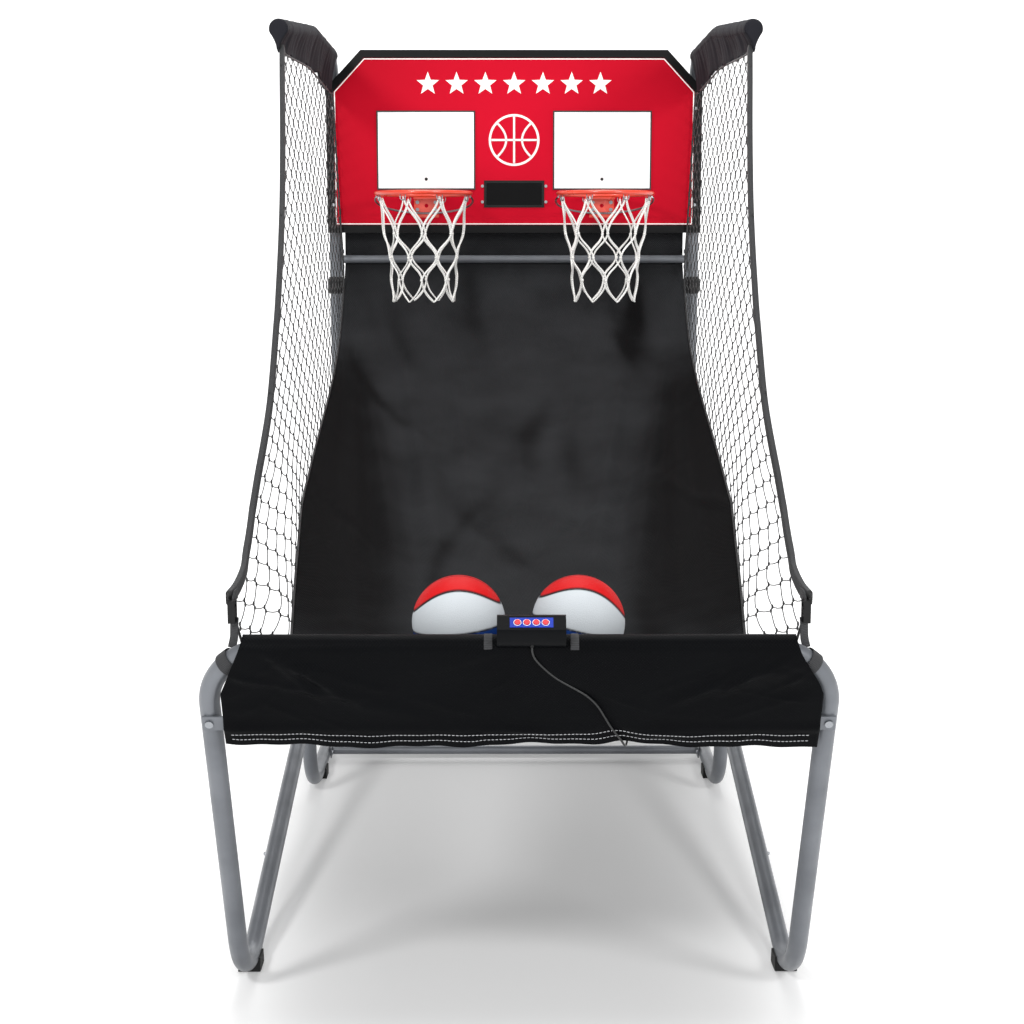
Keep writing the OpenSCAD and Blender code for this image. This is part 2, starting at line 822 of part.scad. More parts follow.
module controller_case() {
    color(black) {
        difference() {
            translate([case_x, 0, 0]) case_part(split_d, face_d);
            button_places() translate([0, 0, -case_wall - 1])
                cylinder(r = button_d / 2 + 0.2, h = case_wall + 2);
        }
        // Posts that hold the circuit board
        face_frame() for (s = [-1, 1]) translate([s * 40, 0, -10])
            cylinder(r = 3, h = 10 - case_wall + 0.5);
    }
}

module controller_base() {
    color(black) translate([case_x, 0, 0]) case_part(-case_r, split_d);
}

module controller_label() {
    color("#1f3f93") face_frame() difference() {
        translate([-label_l / 2, -label_h / 2, 0]) cube([label_l, label_h, label_t]);
        for (i = [0:3]) translate([button_x(i), 0, -1])
            cylinder(r = button_d / 2 + 0.2, h = label_t + 2);
    }
}

module controller_circuit() {
    color("#1f5c34") face_frame() translate([-44, -9, -11.6]) cube([88, 18, 1.6]);
}

module push_button(i) {
    color(red) face_frame() translate([button_x(i), 0, 0]) {
        translate([0, 0, -6.5]) cylinder(r = button_d / 2, h = 6.5 + label_t + 2.4);
        translate([0, 0, -6.5]) cylinder(r = button_d / 2 + 1, h = 6.5 - case_wall - gap);
    }
}

// Two webbing bands round the ends of the case
module controller_straps() {
    color(black) for (s = [-1, 1]) translate([case_x + s * (case_l / 2 + 8), 0, 0])
        side_view(15) intersection() {
            translate([bar_y, bar_h]) difference() {
                circle(case_bore + 2);
                circle(case_bore);
            }
            translate([bar_y - 40, bar_h + 2]) square([42, 60]);
        }
}

// ---- Controller cord ----

function ring_at(p, d, r, n) =
    let (z = d / norm(d), x = cross([0, 0.6, 0.8], z), u = x / norm(x), v = cross(z, u))
    [for (k = [0:n - 1]) p + r * (cos(360 * k / n) * u + sin(360 * k / n) * v)];

function heading(route, i) =
    route[min(i + 1, len(route) - 1)] - route[max(i - 1, 0)];

module cord_tube(route, r, n) {
    m = len(route);
    rings = [for (i = [0:m - 1]) each ring_at(route[i], heading(route, i), r, n)];
    sides = [for (i = [0:m - 2], k = [0:n - 1])
        [i * n + k, i * n + (k + 1) % n, (i + 1) * n + (k + 1) % n, (i + 1) * n + k]];
    polyhedron(rings, concat(sides, [[for (k = [n - 1:-1:0]) k]],
        [[for (k = [0:n - 1]) (m - 1) * n + k]]), convexity = 6);
}

// The route keeps its place against the crossbar
module cord_shift() {
    translate([0, bar_y - cord_from[0], bar_h - cord_from[1]]) children();
}

module controller_cord() {
    color(black) cord_shift() cord_tube(cord_route, cord_d / 2, 8);
}

// Strain relief under the case, and the clip behind the hem where the cord ends
module cord_fittings() {
    color(black) {
        difference() {
            cord_shift() translate(cord_route[0]) cylinder(r1 = 3.2, r2 = 4.4, h = 9);
            translate([0, bar_y - case_out, bar_h + case_up]) rotate([0, 90, 0])
                cylinder(r = case_r + 0.05, h = 4 * case_l, center = true);
        }
        leg_frame() translate([190, -skirt_y + 10.3, -stretcher_drop - 20]) cube([16, 9, 16]);
    }
}

// ---- Balls ----

module ball(x) {
    c = [x, bar_y + ball_y, bar_h + trough_low + ball_d / 2 + gap];
    color("#d8322a") translate(c) difference() {
        sphere(ball_d / 2);
        sphere(ball_d / 2 - 3);
    }
}

base_tube(-half_w);  // base_tube_left
base_tube(half_w);  // base_tube_right
uprights();
arm_tube(-half_w);  // arm_tube_left
arm_tube(half_w);  // arm_tube_right
upright_collars();
arm_caps();
floor_crossbar();
upper_crossbar();
frame_bolts();
rear_feet();
pivot_brackets();
pivot_bolts();
backboard_panel();
backboard_edging();
target_panels();
scoreboard_case();
scoreboard_lens();
scoreboard_circuit();
board_screws();
backboard_clamps();
rim(-rim_x);  // rim_left
rim(rim_x);  // rim_right
rim_brackets();
rim_braces();
rim_bolts();
hoop_nets();
score_sensors();
arm_sleeves();
side_nets();
ramp_cloth();
front_crossbar();
front_leg(-1);  // front_leg_left
front_leg(1);  // front_leg_right
front_foot(-1);  // front_foot_left
front_foot(1);  // front_foot_right
side_rail(-1);  // side_rail_left
side_rail(1);  // side_rail_right
stretcher_bar();
stretcher_bolts();
front_feet();
apron();
trough_cloth();
corner_straps();
strap_buckles();
controller_case();
controller_base();
controller_label();
controller_circuit();
controller_straps();
controller_cord();
cord_fittings();
push_button(0);  // button_1
push_button(1);  // button_2
push_button(2);  // button_3
push_button(3);  // button_4
snap_button(-1);  // snap_button_left
snap_button(1);  // snap_button_right
ball(-ball_x);  // ball_left
ball(ball_x);  // ball_right
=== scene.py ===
"""Looks for a folding two-hoop basketball game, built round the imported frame.

Metres throughout. +Z is up, the players stand at the -Y end and the backboard is at the +Y end.
"""
from math import radians

import bmesh
import bpy
import numpy as np
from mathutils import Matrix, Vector


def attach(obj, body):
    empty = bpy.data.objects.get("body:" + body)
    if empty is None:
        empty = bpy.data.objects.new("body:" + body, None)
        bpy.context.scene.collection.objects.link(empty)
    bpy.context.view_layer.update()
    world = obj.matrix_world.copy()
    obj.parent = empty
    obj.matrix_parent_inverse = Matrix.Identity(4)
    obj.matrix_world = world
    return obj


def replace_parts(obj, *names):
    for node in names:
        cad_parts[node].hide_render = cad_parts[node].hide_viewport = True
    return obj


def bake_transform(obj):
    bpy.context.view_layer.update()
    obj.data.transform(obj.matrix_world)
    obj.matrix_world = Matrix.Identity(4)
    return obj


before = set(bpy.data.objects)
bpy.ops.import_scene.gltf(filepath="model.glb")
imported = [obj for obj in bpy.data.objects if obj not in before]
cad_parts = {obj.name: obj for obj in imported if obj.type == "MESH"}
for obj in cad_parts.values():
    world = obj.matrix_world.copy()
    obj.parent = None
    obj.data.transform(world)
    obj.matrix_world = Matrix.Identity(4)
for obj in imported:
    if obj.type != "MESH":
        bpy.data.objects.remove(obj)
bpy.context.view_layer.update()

# ---- Sizes of the frame, as the part's source gives them ----

HALF_W = 0.558                    # side frames' centre lines from the middle
TUBE_R = 0.019
BAR = np.array([-1.192, 0.790])   # front crossbar axis, Y and Z
LEAN = radians(22.304)            # front legs from upright
CORNER_R = 0.125
UPRIGHT_Y = 1.204
ARM_Z = 2.0672
KNEE_Y = 0.639                    # where the arms begin to droop
TIP = np.array([-0.0187, 1.9981])  # arm tip, Y and Z
BOARD_FRONT = 1.159
BOARD_LOW, BOARD_TOP = 1.537, 2.087
RIM_X, RIM_Y, RIM_Z = 0.271, 0.969, 1.650
BALL_R = 0.089
BALLS = {"ball_left": (-0.114, -0.956, 0.7833), "ball_right": (0.114, -0.956, 0.7833)}
FACE_DIR = radians(130)           # way the controller's label faces, from +Y
FACE_D = 0.0245                   # label face from the case axis
CASE = np.array([-1.202, 0.822])  # controller case axis, Y and Z
CASE_X = 0.021
CORD_ROUTE = np.array([
    [22, -1219, 797], [22, -1219, 788], [26, -1217, 777], [34, -1212, 766], [44, -1207, 755],
    [54, -1202, 745], [66, -1198, 735], [78, -1195, 727], [91, -1192, 719], [104, -1189, 711],
    [118, -1186, 702], [128, -1183, 693], [137, -1179, 683], [144, -1175, 673],
    [150, -1171, 662], [156, -1166, 651], [162, -1162, 640], [169, -1157, 629],
    [177, -1153, 618], [185, -1149, 607], [190, -1145, 598], [193, -1139, 593],
    [195, -1132, 594], [197, -1130, 601], [198, -1131, 610], [198, -1134, 619],
    [198, -1137, 626]]) / 1000


# ---- Materials ----

def linear(hex_colour):
    """sRGB hex to linear RGBA: a channel c is c/12.92 below 0.04045, and above it
    ((c+0.055)/1.055)^2.4."""
    c = np.array([int(hex_colour[i:i + 2], 16) / 255 for i in (1, 3, 5)])
    c = np.where(c <= 0.04045, c / 12.92, ((c + 0.055) / 1.055) ** 2.4)
    return (*c.tolist(), 1.0)


def add(tree, kind, inputs=None, size=None, uv=False, stops=(), **settings):
    """Adds a node, or takes the one given as kind. Sets its properties and colour stops, and
    fills its inputs or links them to a socket or a node's first output. With a size, its
    Vector is Object coordinates or the piece's UV, in metres, times size."""
    node = tree.nodes.new("ShaderNode" + kind) if isinstance(kind, str) else kind
    inputs = dict(inputs or {})
    if size is not None:
        source = add(tree, "TexCoord").outputs["UV" if uv else "Object"]
        scale = size if isinstance(size, tuple) else (size,) * 3
        inputs["Vector"] = add(tree, "Mapping", {"Vector": source, "Scale": scale})
        if "Scale" in node.inputs:
            inputs["Scale"] = 1.0
    for key, value in settings.items():
        setattr(node, key, value)
    for key, value in inputs.items():
        if isinstance(value, bpy.types.Node):
            value = value.outputs[0]
        if isinstance(value, bpy.types.NodeSocket):
            tree.links.new(value, node.inputs[key])
        else:
            node.inputs[key].default_value = value
    if stops:
        elements = node.color_ramp.elements
        while len(elements) < len(stops):
            elements.new(0.5)
        for element, (position, colour) in zip(elements, stops):
            element.position = position
            element.color = linear(colour)
    return node


def finish(name, colour, rough, **sockets):
    """A new material with a Principled shader. Returns (material, its tree, the shader)."""
    material = bpy.data.materials.new(name)
    material.use_nodes = True
    tree = material.node_tree
    shader = tree.nodes["Principled BSDF"]
    shader.inputs["Base Color"].default_value = linear(colour)
    shader.inputs["Roughness"].default_value = rough
    for key, value in sockets.items():
        shader.inputs[key.replace("_", " ")].default_value = value
    material.diffuse_color = linear(colour)
    return material, tree, shader


def powder_coat(name, colour, dark, metallic=0.0, coat=0.0, rough=0.4):
    """Baked powder on steel: a fine orange peel about 1.5 mm across, a little darker and
    duller in patches where hands and cloth have rubbed it."""
    material, tree, shader = finish(name, colour, rough, Metallic=metallic, Coat_Weight=coat,
                                    Coat_Roughness=0.12)
    peel = add(tree, "TexNoise", size=650.0)
    patches = add(tree, "TexNoise", {"Detail": 4.0}, size=9.0)
    add(tree, shader, {
        "Base Color": add(tree, "ValToRGB", {"Fac": patches},
                          stops=[(0.35, dark), (0.62, colour)]),
        "Roughness": add(tree, "MapRange", {
            "Value": patches, "From Min": 0.3, "From Max": 0.7, "To Min": rough + 0.08,
            "To Max": rough - 0.06}),
        "Normal": add(tree, "Bump", {"Height": peel, "Strength": 0.10, "Distance": 0.0006})})
    return material


def moulded(name, colour, rough, grain=0.9, coat=0.0, depth=0.12, flow_range=(0.7, 1.35),
            gloss=0.5):
    """Injection-moulded plastic or rubber: spark-eroded grain, drawn about 1 mm wide so
    that it shows, and slight colour variation from flow in the mould."""
    material, tree, shader = finish(name, colour, rough, Coat_Weight=coat,
                                    Specular_IOR_Level=gloss)
    fine = add(tree, "TexVoronoi", size=1000.0 / grain)
    flow = add(tree, "TexNoise", {"Detail": 3.0}, size=22.0)
    shade = add(tree, "MapRange", {"Value": flow, "To Min": flow_range[0],
                                   "To Max": flow_range[1]})
    add(tree, shader, {
        "Base Color": add(tree, "HueSaturation", {"Color": linear(colour), "Value": shade}),
        "Normal": add(tree, "Bump", {"Height": fine, "Strength": depth, "Distance": 0.0008})})
    return material


def plated(name, colour, rough):
    """Bright zinc on pressed steel: crystalline patches a few millimetres wide that change
    the gloss."""
    material, tree, shader = finish(name, colour, rough, Metallic=1.0)
    spangle = add(tree, "TexVoronoi", size=420.0)
    crystal = add(tree, "SeparateColor", {"Color": spangle.outputs["Color"]})
    add(tree, shader, {"Roughness": add(tree, "MapRange", {
        "Value": crystal.outputs["Red"], "To Min": rough - 0.08, "To Max": rough + 0.14})})
    return material


def woven(name, colour, light, thread, rough=0.8, sheen=0.35, depth=0.5, shade_sides=False,
          gloss=0.22):
    """Plain-weave polyester: over and under threads as the product of two sine waves, in
    the piece's own UV in metres. thread is the spacing in metres, drawn at about twice the
    real one so that it shows. Uneven yarn gives dark and light slubs. When asked, a point
    attribute of the piece, 0 to 1, darkens the cloth where it is high: painted shade."""
    material, tree, shader = finish(name, colour, rough, Sheen_Weight=sheen,
                                    Sheen_Roughness=0.45, Specular_IOR_Level=gloss)
    shader.inputs["Sheen Tint"].default_value = linear(light)
    axes = add(tree, "SeparateXYZ", size=1.0, uv=True)
    turns = [add(tree, "Math", {0: axes.outputs[axis], 1: np.pi / thread},
                 operation="MULTIPLY") for axis in ("X", "Y")]
    waves = [add(tree, "Math", {0: turn}, operation="SINE") for turn in turns]
    weave = add(tree, "Math", {0: waves[0], 1: waves[1]}, operation="MULTIPLY")
    slubs = add(tree, "TexNoise", {"Detail": 2.0}, size=(900.0, 180.0, 1.0), uv=True)
    worn = add(tree, "TexNoise", {"Detail": 5.0}, size=5.0, uv=True)
    shares = [(weave, 0.16), (slubs, 0.45), (worn, 0.5)]
    # Painted shade: the cloth is darker where the piece's shade attribute is high
    if shade_sides:
        side_shade = add(tree, "Attribute", attribute_name="side_shade")
        shares.append((side_shade.outputs["Fac"], -0.50))
    level = 0.34
    for part, share in shares:
        level = add(tree, "Math", {0: part, 1: share, 2: level}, operation="MULTIPLY_ADD")
    add(tree, shader, {
        "Base Color": add(tree, "ValToRGB", {"Fac": level},
                          stops=[(0.45, colour), (1.05, light)]),
        "Normal": add(tree, "Bump", {"Height": weave, "Strength": depth,
                                     "Distance": thread * 0.25})})
    return material


def ribbed(name, colour, light, rib):
    """Narrow-loom webbing: ribs across the band every rib metres along its UV."""
    material, tree, shader = finish(name, colour, 0.75, Sheen_Weight=0.06)
    axes = add(tree, "SeparateXYZ", size=np.pi / rib, uv=True)
    ribs = add(tree, "Math", {0: axes.outputs["Y"]}, operation="SINE")
    rounded = add(tree, "Math", {0: ribs}, operation="ABSOLUTE")
    add(tree, shader, {
        "Base Color": add(tree, "ValToRGB", {"Fac": rounded},
                          stops=[(0.1, colour), (0.9, light)]),
        "Normal": add(tree, "Bump", {"Height": rounded, "Strength": 0.6,
                                     "Distance": rib * 0.4})})
    return material


def laid_cord(name, colour, light, pitch, rough=0.8):
    """Braided cord: strands that cross the cord on the slant, as a wave over its UV, where
    U runs round the cord from 0 to 1 and V along it in metres."""
    material, tree, shader = finish(name, colour, rough, Sheen_Weight=0.08)
    axes = add(tree, "SeparateXYZ", size=1.0, uv=True)
    along = add(tree, "Math", {0: axes.outputs["Y"], 1: 2 * np.pi / pitch},
                operation="MULTIPLY")
    phase = add(tree, "Math", {0: axes.outputs["X"], 1: 4 * np.pi, 2: along},
                operation="MULTIPLY_ADD")
    strands = add(tree, "Math", {0: phase}, operation="SINE")
    half = add(tree, "Math", {0: strands, 1: 0.5, 2: 0.5}, operation="MULTIPLY_ADD")
    add(tree, shader, {
        "Base Color": add(tree, "ValToRGB", {"Fac": half},
                          stops=[(0.0, colour), (0.7, light)]),
        "Normal": add(tree, "Bump", {"Height": half, "Strength": 0.5, "Distance": 0.0008})})
    return material


def board_print():
    """Screen print on hardboard under matt film: a deep red that is brighter in the
    middle, with fine film texture. The board's sides and back are black laminate."""
    material, tree, shader = finish("red_screen_print", "#b4061f", 0.50, Specular_IOR_Level=0.06)
    place = add(tree, "TexCoord").outputs["Object"]
    centre = add(tree, "Mapping", {"Vector": place, "Location": (0.0, 0.0, -1.80),
                                   "Scale": (1.0, 0.0, 1.0)})
    away = add(tree, "VectorMath", {0: centre}, operation="LENGTH")
    ink = add(tree, "ValToRGB", {"Fac": away.outputs["Value"]},
              stops=[(0.05, "#c40826"), (0.62, "#a8041c")])
    depth = add(tree, "SeparateXYZ", {"Vector": place})
    back = add(tree, "Math", {0: depth.outputs["Y"], 1: BOARD_FRONT + 0.0015},
               operation="GREATER_THAN")
    film = add(tree, "TexNoise", size=300.0)
    add(tree, shader, {
        "Base Color": add(tree, "MixRGB", {"Fac": back, "Color1": ink,
                                           "Color2": linear("#141517")}),
        "Normal": add(tree, "Bump", {"Height": film, "Strength": 0.04, "Distance": 0.0005})})
    return material


def ball_rubber():
    """Pebbled rubber: pebbles 2 mm apart, panel colours from the piece's own attribute
    (0 red, 1 white, 2 blue) and black in the seams."""
    material, tree, shader = finish("pebbled_ball_rubber", "#c9202c", 0.50,
                                    Specular_IOR_Level=0.14)
    panel = add(tree, "Attribute", attribute_name="panel")
    seam = add(tree, "Attribute", attribute_name="seam")
    share = add(tree, "Math", {0: panel.outputs["Fac"], 1: 0.5}, operation="MULTIPLY")
    colours = add(tree, "ValToRGB", {"Fac": share},
                  stops=[(0.0, "#bb0a0e"), (0.25, "#b9bec2"), (0.75, "#0a2f6c")])
    colours.color_ramp.interpolation = "CONSTANT"
    pebbles = add(tree, "TexVoronoi", size=480.0)
    rounded = add(tree, "MapRange", {"Value": pebbles, "From Min": 0.1, "From Max": 0.6,
                                     "To Min": 1.0, "To Max": 0.0})
    add(tree, shader, {
        "Base Color": add(tree, "MixRGB", {"Fac": seam.outputs["Fac"], "Color1": colours,
                                           "Color2": linear("#141518")}),
        "Normal": add(tree, "Bump", {"Height": rounded, "Strength": 0.35,
                                     "Distance": 0.0008})})
    return material


GREY_COAT = powder_coat("silver_grey_powder_coat", "#6a6d72", "#5f6267", metallic=0.35,
                        rough=0.38)
ORANGE_COAT = powder_coat("orange_powder_coat", "#e8432a", "#d43a22", coat=0.6, rough=0.3)
BLACK_COAT = powder_coat("black_powder_coat", "#1c1d1f", "#131415", rough=0.42)
BLACK_PLASTIC = moulded("moulded_black_polypropylene", "#0a0a0b", 0.48, gloss=0.25)
BLACK_GLOSS = moulded("moulded_black_abs", "#050608", 0.36, grain=1.4, depth=0.05, gloss=0.08)
EDGING = moulded("extruded_black_pvc_edging", "#040405", 0.42, grain=1.6, depth=0.05,
                 gloss=0.16)
RUBBER = moulded("moulded_black_rubber", "#0e0e0f", 0.85, grain=1.2, depth=0.3)
RED_BUTTON = moulded("moulded_red_silicone", "#d4202a", 0.38, grain=0.8, depth=0.05)
CABLE = moulded("extruded_black_pvc_sheath", "#0f1011", 0.42, grain=0.7, depth=0.05)
TARGET = moulded("white_printed_film", "#f6f6f6", 0.30, grain=2.0, coat=0.2, depth=0.02,
                 flow_range=(0.97, 1.0))
WHITE_INK = moulded("white_screen_ink", "#f2f1ef", 0.42, grain=1.0, depth=0.04,
                    flow_range=(0.95, 1.0))
BLACK_INK = moulded("black_screen_ink", "#101113", 0.38, grain=1.0, depth=0.04)
BLUE_FILM = moulded("blue_printed_film", "#12309a", 0.34, grain=1.5, depth=0.03, gloss=0.2)
SOLDER_MASK = moulded("green_solder_mask", "#1b5a33", 0.35, grain=0.8, depth=0.1)
LENS = moulded("smoked_acrylic_lens", "#030304", 0.14, grain=4.0, depth=0.01, gloss=0.1)
ZINC = plated("bright_zinc_plate", "#94979b", 0.34)
BOARD = board_print()
BALL = ball_rubber()
# The return cloth takes painted shade on its side panels from its point attribute
RAMP_CLOTH = woven("black_plain_weave_polyester", "#050506", "#2b2c2e", 0.0034, depth=0.6,
                   sheen=0.015, rough=0.85, shade_sides=True, gloss=0.10)
APRON_CLOTH = woven("black_coated_polyester", "#020203", "#08090b", 0.0030, rough=0.42,
                    sheen=0.0, depth=0.30, gloss=0.035)
SLEEVE_CLOTH = woven("charcoal_plain_weave_polyester", "#09090c", "#232329", 0.0030,
                     sheen=0.03, gloss=0.12)
BINDING = ribbed("black_grosgrain_binding", "#0d0d0e", "#232427", 0.0022)
WEBBING = ribbed("black_nylon_webbing", "#0b0b0c", "#26272a", 0.0030)
NET_CORD = laid_cord("white_braided_nylon_cord", "#c9c8c4", "#f2f1ee", 0.006)
TWINE = laid_cord("black_knotted_nylon_twine", "#0a0a0b", "#1c1c1e", 0.004, rough=0.6)
THREAD = laid_cord("pale_grey_sewing_thread", "#8d8e92", "#b9babd", 0.002)


# ---- Mesh tools ----

def piece(name, verts, faces, material, body=None, uv=None, smooth=True):
    """A new object at the origin from arrays of corners and faces, with an optional UV per
    vertex in metres."""
    mesh = bpy.data.meshes.new(name)
    mesh.from_pydata(np.asarray(verts, float).reshape(-1, 3).tolist(), [],
                     [tuple(int(i) for i in f) for f in faces])
    mesh.update()
    if uv is not None:
        corners = np.empty(len(mesh.loops), np.int32)
        mesh.loops.foreach_get("vertex_index", corners)
        layer = mesh.uv_layers.new(name="cloth")
        layer.data.foreach_set("uv", np.asarray(uv, np.float32)[corners].ravel())
    if smooth:
        mesh.polygons.foreach_set("use_smooth", np.ones(len(mesh.polygons), bool))
    mesh.materials.append(material)
    obj = bpy.data.objects.new(name, mesh)
    bpy.context.scene.collection.objects.link(obj)
    if body:
        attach(obj, body)
    return obj


def weld_normals(obj):
    """Turns every face outwards."""
    work = bmesh.new()
    work.from_mesh(obj.data)
    bmesh.ops.recalc_face_normals(work, faces=work.faces)
    work.to_mesh(obj.data)
    work.free()
    return obj


def grid_faces(rows, cols, wrap_rows=False, wrap_cols=False, start=0):
    """Quads of a rows by cols grid of vertices, as an array."""
    i = np.arange(rows if wrap_rows else rows - 1)[:, None]
    j = np.arange(cols if wrap_cols else cols - 1)[None, :]
    i2, j2 = (i + 1) % rows, (j + 1) % cols
    quads = np.stack([i * cols + j, i * cols + j2, i2 * cols + j2, i2 * cols + j], -1)
    return quads.reshape(-1, 4) + start


def unit(v):
    return v / np.maximum(np.linalg.norm(v, axis=-1, keepdims=True), 1e-12)


def travel(path):
    """Distance run along a path, or along each of many, at each of its points."""
    steps = np.linalg.norm(np.diff(path, axis=-2), axis=-1)
    return np.concatenate([np.zeros_like(steps[..., :1]), np.cumsum(steps, -1)], -1)


def tubes(name, paths, radius, material, body, sides=6, ref=(0.0, 0.0, 1.0), flat=1.0,
          closed=False):
    """A piece made of round or flattened tubes along many paths at once.

    paths is (tubes, points, 3). Each ring is centre + radius*(cos a * side + flat*sin a *
    up), where side is the path's direction crossed with ref and up completes the frame.
    The ends are closed with one face each."""
    paths = np.asarray(paths, float)
    count, points, _ = paths.shape
    if closed:
        heading = unit(np.roll(paths, -1, 1) - np.roll(paths, 1, 1))
    else:
        heading = unit(np.gradient(paths, axis=1))
    side = unit(np.cross(heading, np.broadcast_to(np.asarray(ref, float), paths.shape)))
    up = np.cross(side, heading)
    a = 2 * np.pi * np.arange(sides) / sides
    radius = np.broadcast_to(np.asarray(radius, float), (count, points))[..., None, None]
    ring = (np.cos(a)[:, None] * side[:, :, None, :]
            + flat * np.sin(a)[:, None] * up[:, :, None, :])
    verts = paths[:, :, None, :] + radius * ring
    base = grid_faces(points, sides, closed, True)
    faces = (base[None] + (np.arange(count) * points * sides)[:, None, None]).reshape(-1, 4)
    faces = faces.tolist()
    if not closed:
        first = (np.arange(count) * points * sides)[:, None]
        faces += (first + np.arange(sides)[::-1]).tolist()
        faces += (first + (points - 1) * sides + np.arange(sides)).tolist()
    uv = np.stack(np.broadcast_arrays((np.arange(sides) / sides)[None, None, :],
                                      travel(paths)[:, :, None]), -1)
    return piece(name, verts, faces, material, body, uv.reshape(-1, 2))


def smooth_path(points, count, soft=0):
    """A path resampled at count equal steps, then averaged soft times with its
    neighbours, its ends held."""
    points = np.asarray(points, float)
    run = travel(points)
    at = np.linspace(0, run[-1], count)
    out = np.stack([np.interp(at, run, points[:, k]) for k in range(points.shape[1])], -1)
    for _ in range(soft):
        out[1:-1] = (out[:-2] + 2 * out[1:-1] + out[2:]) / 4
    return out


def band(name, path, width_dir, width, thick, material, body=None):
    """A flat band along a path: a rounded oblong section, width along width_dir and thick
    across it. width_dir is one vector or one per point. UV is metres across and along."""
    path = np.asarray(path, float)
    heading = unit(np.gradient(path, axis=0))
    wide = unit(np.broadcast_to(np.asarray(width_dir, float), path.shape)
                - heading * np.sum(heading * width_dir, -1, keepdims=True))
    out = np.cross(heading, wide)
    cols = 16
    a = 2 * np.pi * np.arange(cols) / cols
    x = np.sign(np.cos(a)) * np.abs(np.cos(a)) ** 0.35 * width / 2
    y = np.sign(np.sin(a)) * np.abs(np.sin(a)) ** 0.6 * thick / 2
    verts = path[:, None] + x[:, None] * wide[:, None] + y[:, None] * out[:, None]
    rows = len(path)
    faces = grid_faces(rows, cols, False, True).tolist()
    faces += [list(range(cols))[::-1], list(range((rows - 1) * cols, rows * cols))]
    uv = np.stack(np.broadcast_arrays(x[None], travel(path)[:, None]), -1)
    return weld_normals(piece(name, verts, faces, material, body, uv.reshape(-1, 2)))


def leg_to_world(x, y, z):
    """A point of the leaning leg frame (origin on the crossbar axis) in the row frame."""
    return np.stack(np.broadcast_arrays(
        x, BAR[0] + y * np.cos(LEAN) - z * np.sin(LEAN),
        BAR[1] + y * np.sin(LEAN) + z * np.cos(LEAN)), -1)


def creases(u, v, seed, count, reach, width, height, slant=(0, np.pi), box=None):
    """Creases on a sheet: a sum of ridges, each height times a Gaussian of the distance
    across it over width, times a Gaussian of the distance along it over reach."""
    rng = np.random.default_rng(seed)
    lo_u, hi_u, lo_v, hi_v = box or (u.min(), u.max(), v.min(), v.max())
    out = np.zeros(np.broadcast(u, v).shape)
    for cu, cv, turn, r, w, h in zip(
            rng.uniform(lo_u, hi_u, count), rng.uniform(lo_v, hi_v, count),
            rng.uniform(*slant, count), rng.uniform(0.5, 1, count) * reach,
            rng.uniform(0.5, 1, count) * width, rng.uniform(-1, 1, count) * height):
        du, dv = u - cu, v - cv
        along = du * np.cos(turn) + dv * np.sin(turn)
        across = -du * np.sin(turn) + dv * np.cos(turn) + 0.4 * along ** 2
        out += h * np.exp(-(along / r) ** 2 - (across / w) ** 2)
    return out


def cloth(name, points, material, thick, uv):
    """A sheet from a grid of points (rows, cols, 3), given its thickness by Solidify."""
    rows, cols = points.shape[:2]
    obj = piece(name, points, grid_faces(rows, cols), material, None, uv.reshape(-1, 2))
    wall = obj.modifiers.new("thickness", "SOLIDIFY")
    wall.thickness = thick
    wall.offset = 0.0
    return obj


def normals_of(points):
    """Unit normals of a grid of points from the cross product of its two directions."""
    return unit(np.cross(np.gradient(points, axis=0), np.gradient(points, axis=1)))


# ---- Camera, then the cord ----

camera = bpy.data.objects.new("camera", bpy.data.cameras.new("camera"))
bpy.context.scene.collection.objects.link(camera)
camera.data.lens = 58.0
camera.data.sensor_width = 36.0
camera.location = (-0.021, -4.031, 1.482)
camera.rotation_euler = (radians(81.0), 0.0, radians(-0.16))
bpy.context.scene.camera = camera

cord_path = smooth_path(CORD_ROUTE, 140, 6)
controller_lead = tubes("controller_lead", cord_path[None], 0.002, CABLE, None, 12,
                        (0.0, 0.6, 0.8))
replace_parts(controller_lead, "controller_cord")
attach(controller_lead, "front_frame")


# ---- Materials on the frame's own pieces ----

NODE_FINISHES = {
    GREY_COAT: ["base_tube_left", "base_tube_right", "uprights", "arm_tube_left",
                "arm_tube_right", "floor_crossbar", "upper_crossbar", "front_crossbar",
                "front_leg_left", "front_leg_right", "front_foot_left", "front_foot_right",
                "side_rail_left", "side_rail_right", "stretcher_bar"],
    ORANGE_COAT: ["rim_left", "rim_right", "rim_brackets"],
    BLACK_COAT: ["pivot_brackets"],
    ZINC: ["frame_bolts", "pivot_bolts", "board_screws", "rim_braces", "rim_bolts",
           "stretcher_bolts", "snap_button_left", "snap_button_right"],
    BLACK_PLASTIC: ["upright_collars", "arm_caps", "backboard_clamps", "scoreboard_case",
                    "strap_buckles", "score_sensors", "cord_fittings"],
    BLACK_GLOSS: ["controller_case", "controller_base"],
    EDGING: ["backboard_edging"],
    BOARD: ["backboard_panel"],
    TARGET: ["target_panels"],
    LENS: ["scoreboard_lens"],
    SOLDER_MASK: ["scoreboard_circuit", "controller_circuit"],
    RUBBER: ["rear_feet", "front_feet"],
    BLUE_FILM: ["controller_label"],
    RED_BUTTON: ["button_1", "button_2", "button_3", "button_4"],
}
for material, names in NODE_FINISHES.items():
    for name in names:
        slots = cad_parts[name].data.materials
        slots.clear()
        slots.append(material)


# ---- Ball return cloth ----

